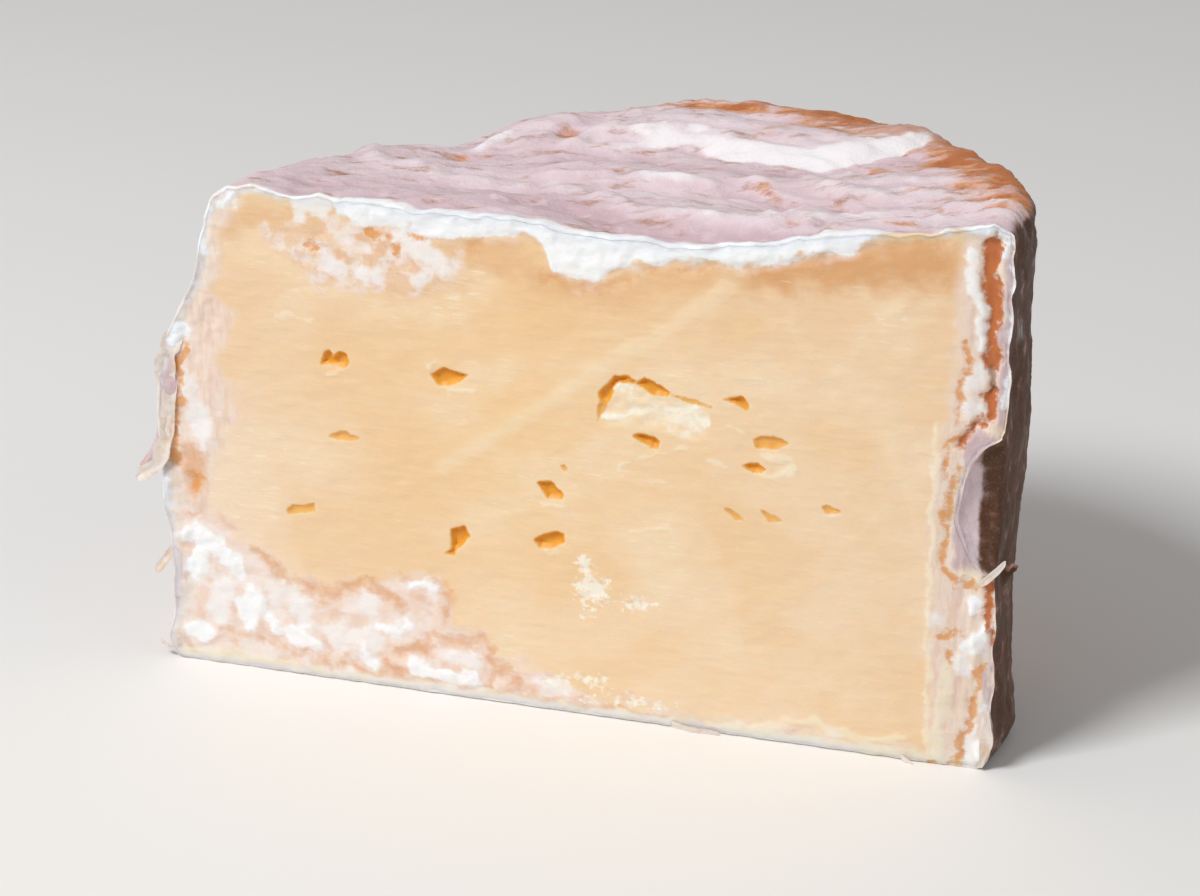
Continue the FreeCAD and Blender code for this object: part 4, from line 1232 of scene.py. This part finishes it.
# %% Torn rind: cream felt with thin tan skin
flake_look, tree = new_material("torn dry cheese rind")
textures = noises(tree, {"patch": ((1.4, 1.4, 1.2), 4.0, 0.6),
                         "felt": ((0.3, 0.3, 0.3), 4.0, 0.6)})
found = {name: stretched(tree, textures[texture], start, end) for name, texture, start, end in
         (("patch", "patch", 0.48, 0.66), ("felt", "felt", 0.5, 0.7),
          ("worn", "patch", 0.42, 0.3))}
colour = paint(tree, "#f0e2d6", found, (("patch", 0.7, "#e6c29a"), ("worn", 0.5, "#e3cdd0"),
                                        ("felt", 0.25, "#fbf6f3")))
normal = roughened(tree, textures, (("patch", 0.08), ("felt", 0.05)))
shader = add(tree, "ShaderNodeBsdfPrincipled", {
    "Base Color": colour, "Roughness": 0.8, "Normal": normal, "Subsurface Weight": 0.3,
    "Subsurface Radius": (1.0, 0.7, 0.5), "Subsurface Scale": 0.6 * MM})
show(tree, shader)
flake_mesh.materials.append(flake_look)
print("loose rind material:", len(tree.nodes), "nodes")

# %% Smooth shading, and the pieces take their place on the body
SHARP_ANGLE = 55.0
for piece in (paste, rind, flakes):
    piece.data.shade_smooth()
    piece.data.set_sharp_from_angle(angle=math.radians(SHARP_ANGLE))
    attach(piece, BODY)
    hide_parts(NODE)

# %% [markdown]
# ## Floor, light and camera
#
# A plain pale floor, a large soft lamp at the front left and an even white surround show the
# cheese at about its own colours. A long lens from a little above and to the right looks at
# the cut.

# %% A pale floor
FLOOR_RADIUS, FLOOR_SIDES = 2.5, 96
floor_mesh = bpy.data.meshes.new("floor")
shape = bmesh.new()
bmesh.ops.create_circle(shape, cap_ends=True, segments=FLOOR_SIDES, radius=FLOOR_RADIUS)
shape.to_mesh(floor_mesh)
shape.free()
floor = link("floor", floor_mesh)
floor_look, tree = new_material("matt pale card")
shader = add(tree, "ShaderNodeBsdfPrincipled", {"Base Color": to_linear("#f1f0ee"),
                                                "Roughness": 0.9})
show(tree, shader)
floor_mesh.materials.append(floor_look)

# %% Lamps and surround
KEY_DIRECTION, KEY_DISTANCE = (-0.40, -0.52, 0.755), 0.63
KEY_POWER, KEY_SIZE = 2.95, 0.2
FILL_PLACE, FILL_POWER, FILL_SIZE = (0.55, -0.15, 0.35), 0.3, 0.4
SURROUND, SEEN_SURROUND = 0.31, 1.0
AIM = (0.6, 0.6, 20.6)


def area_lamp(name, place, power, size, aim):
    data = bpy.data.lights.new(name, "AREA")
    data.energy = power
    data.size = size
    lamp = bpy.data.objects.new(name, data)
    bpy.context.scene.collection.objects.link(lamp)
    lamp.location = place
    lamp.rotation_euler = (Vector(aim) - Vector(place)).to_track_quat("-Z", "Y").to_euler()


aim = in_m(AIM)
key_place = Vector(aim) + Vector(KEY_DIRECTION).normalized() * KEY_DISTANCE
area_lamp("key", key_place, KEY_POWER, KEY_SIZE, aim)
area_lamp("fill", FILL_PLACE, FILL_POWER, FILL_SIZE, aim)
world = bpy.data.worlds.new("surround")
bpy.context.scene.world = world
world.use_nodes = True
tree = world.node_tree
tree.nodes.clear()
seen = add(tree, "ShaderNodeLightPath").outputs["Is Camera Ray"]
strength = add(tree, "ShaderNodeMapRange",
               {"Value": seen, "To Min": SURROUND, "To Max": SEEN_SURROUND})
glow = add(tree, "ShaderNodeBackground", {"Color": (1, 1, 1, 1), "Strength": strength.outputs[0]})
add(tree, "ShaderNodeOutputWorld", {"Surface": glow.outputs[0]})

# %% The camera
CAMERA_YAW, CAMERA_PITCH = 17.6, 21.4
CAMERA_DISTANCE = 210.0 * MM
LENS, SENSOR = 90.0, 36.0

camera_data = bpy.data.cameras.new("camera")
camera_data.lens = LENS
camera_data.sensor_width = SENSOR
camera = bpy.data.objects.new("camera", camera_data)
bpy.context.scene.collection.objects.link(camera)
yaw, pitch = math.radians(CAMERA_YAW), math.radians(CAMERA_PITCH)
backward = Vector((math.sin(yaw) * math.cos(pitch), -math.cos(yaw) * math.cos(pitch),
                   math.sin(pitch)))
camera.location = Vector(aim) + backward * CAMERA_DISTANCE
camera.rotation_euler = (math.pi / 2.0 - pitch, 0.0, yaw)
bpy.context.scene.camera = camera
bpy.context.scene.view_settings.view_transform = "Standard"
print("camera at", [round(c / MM, 1) for c in camera.location], "mm")
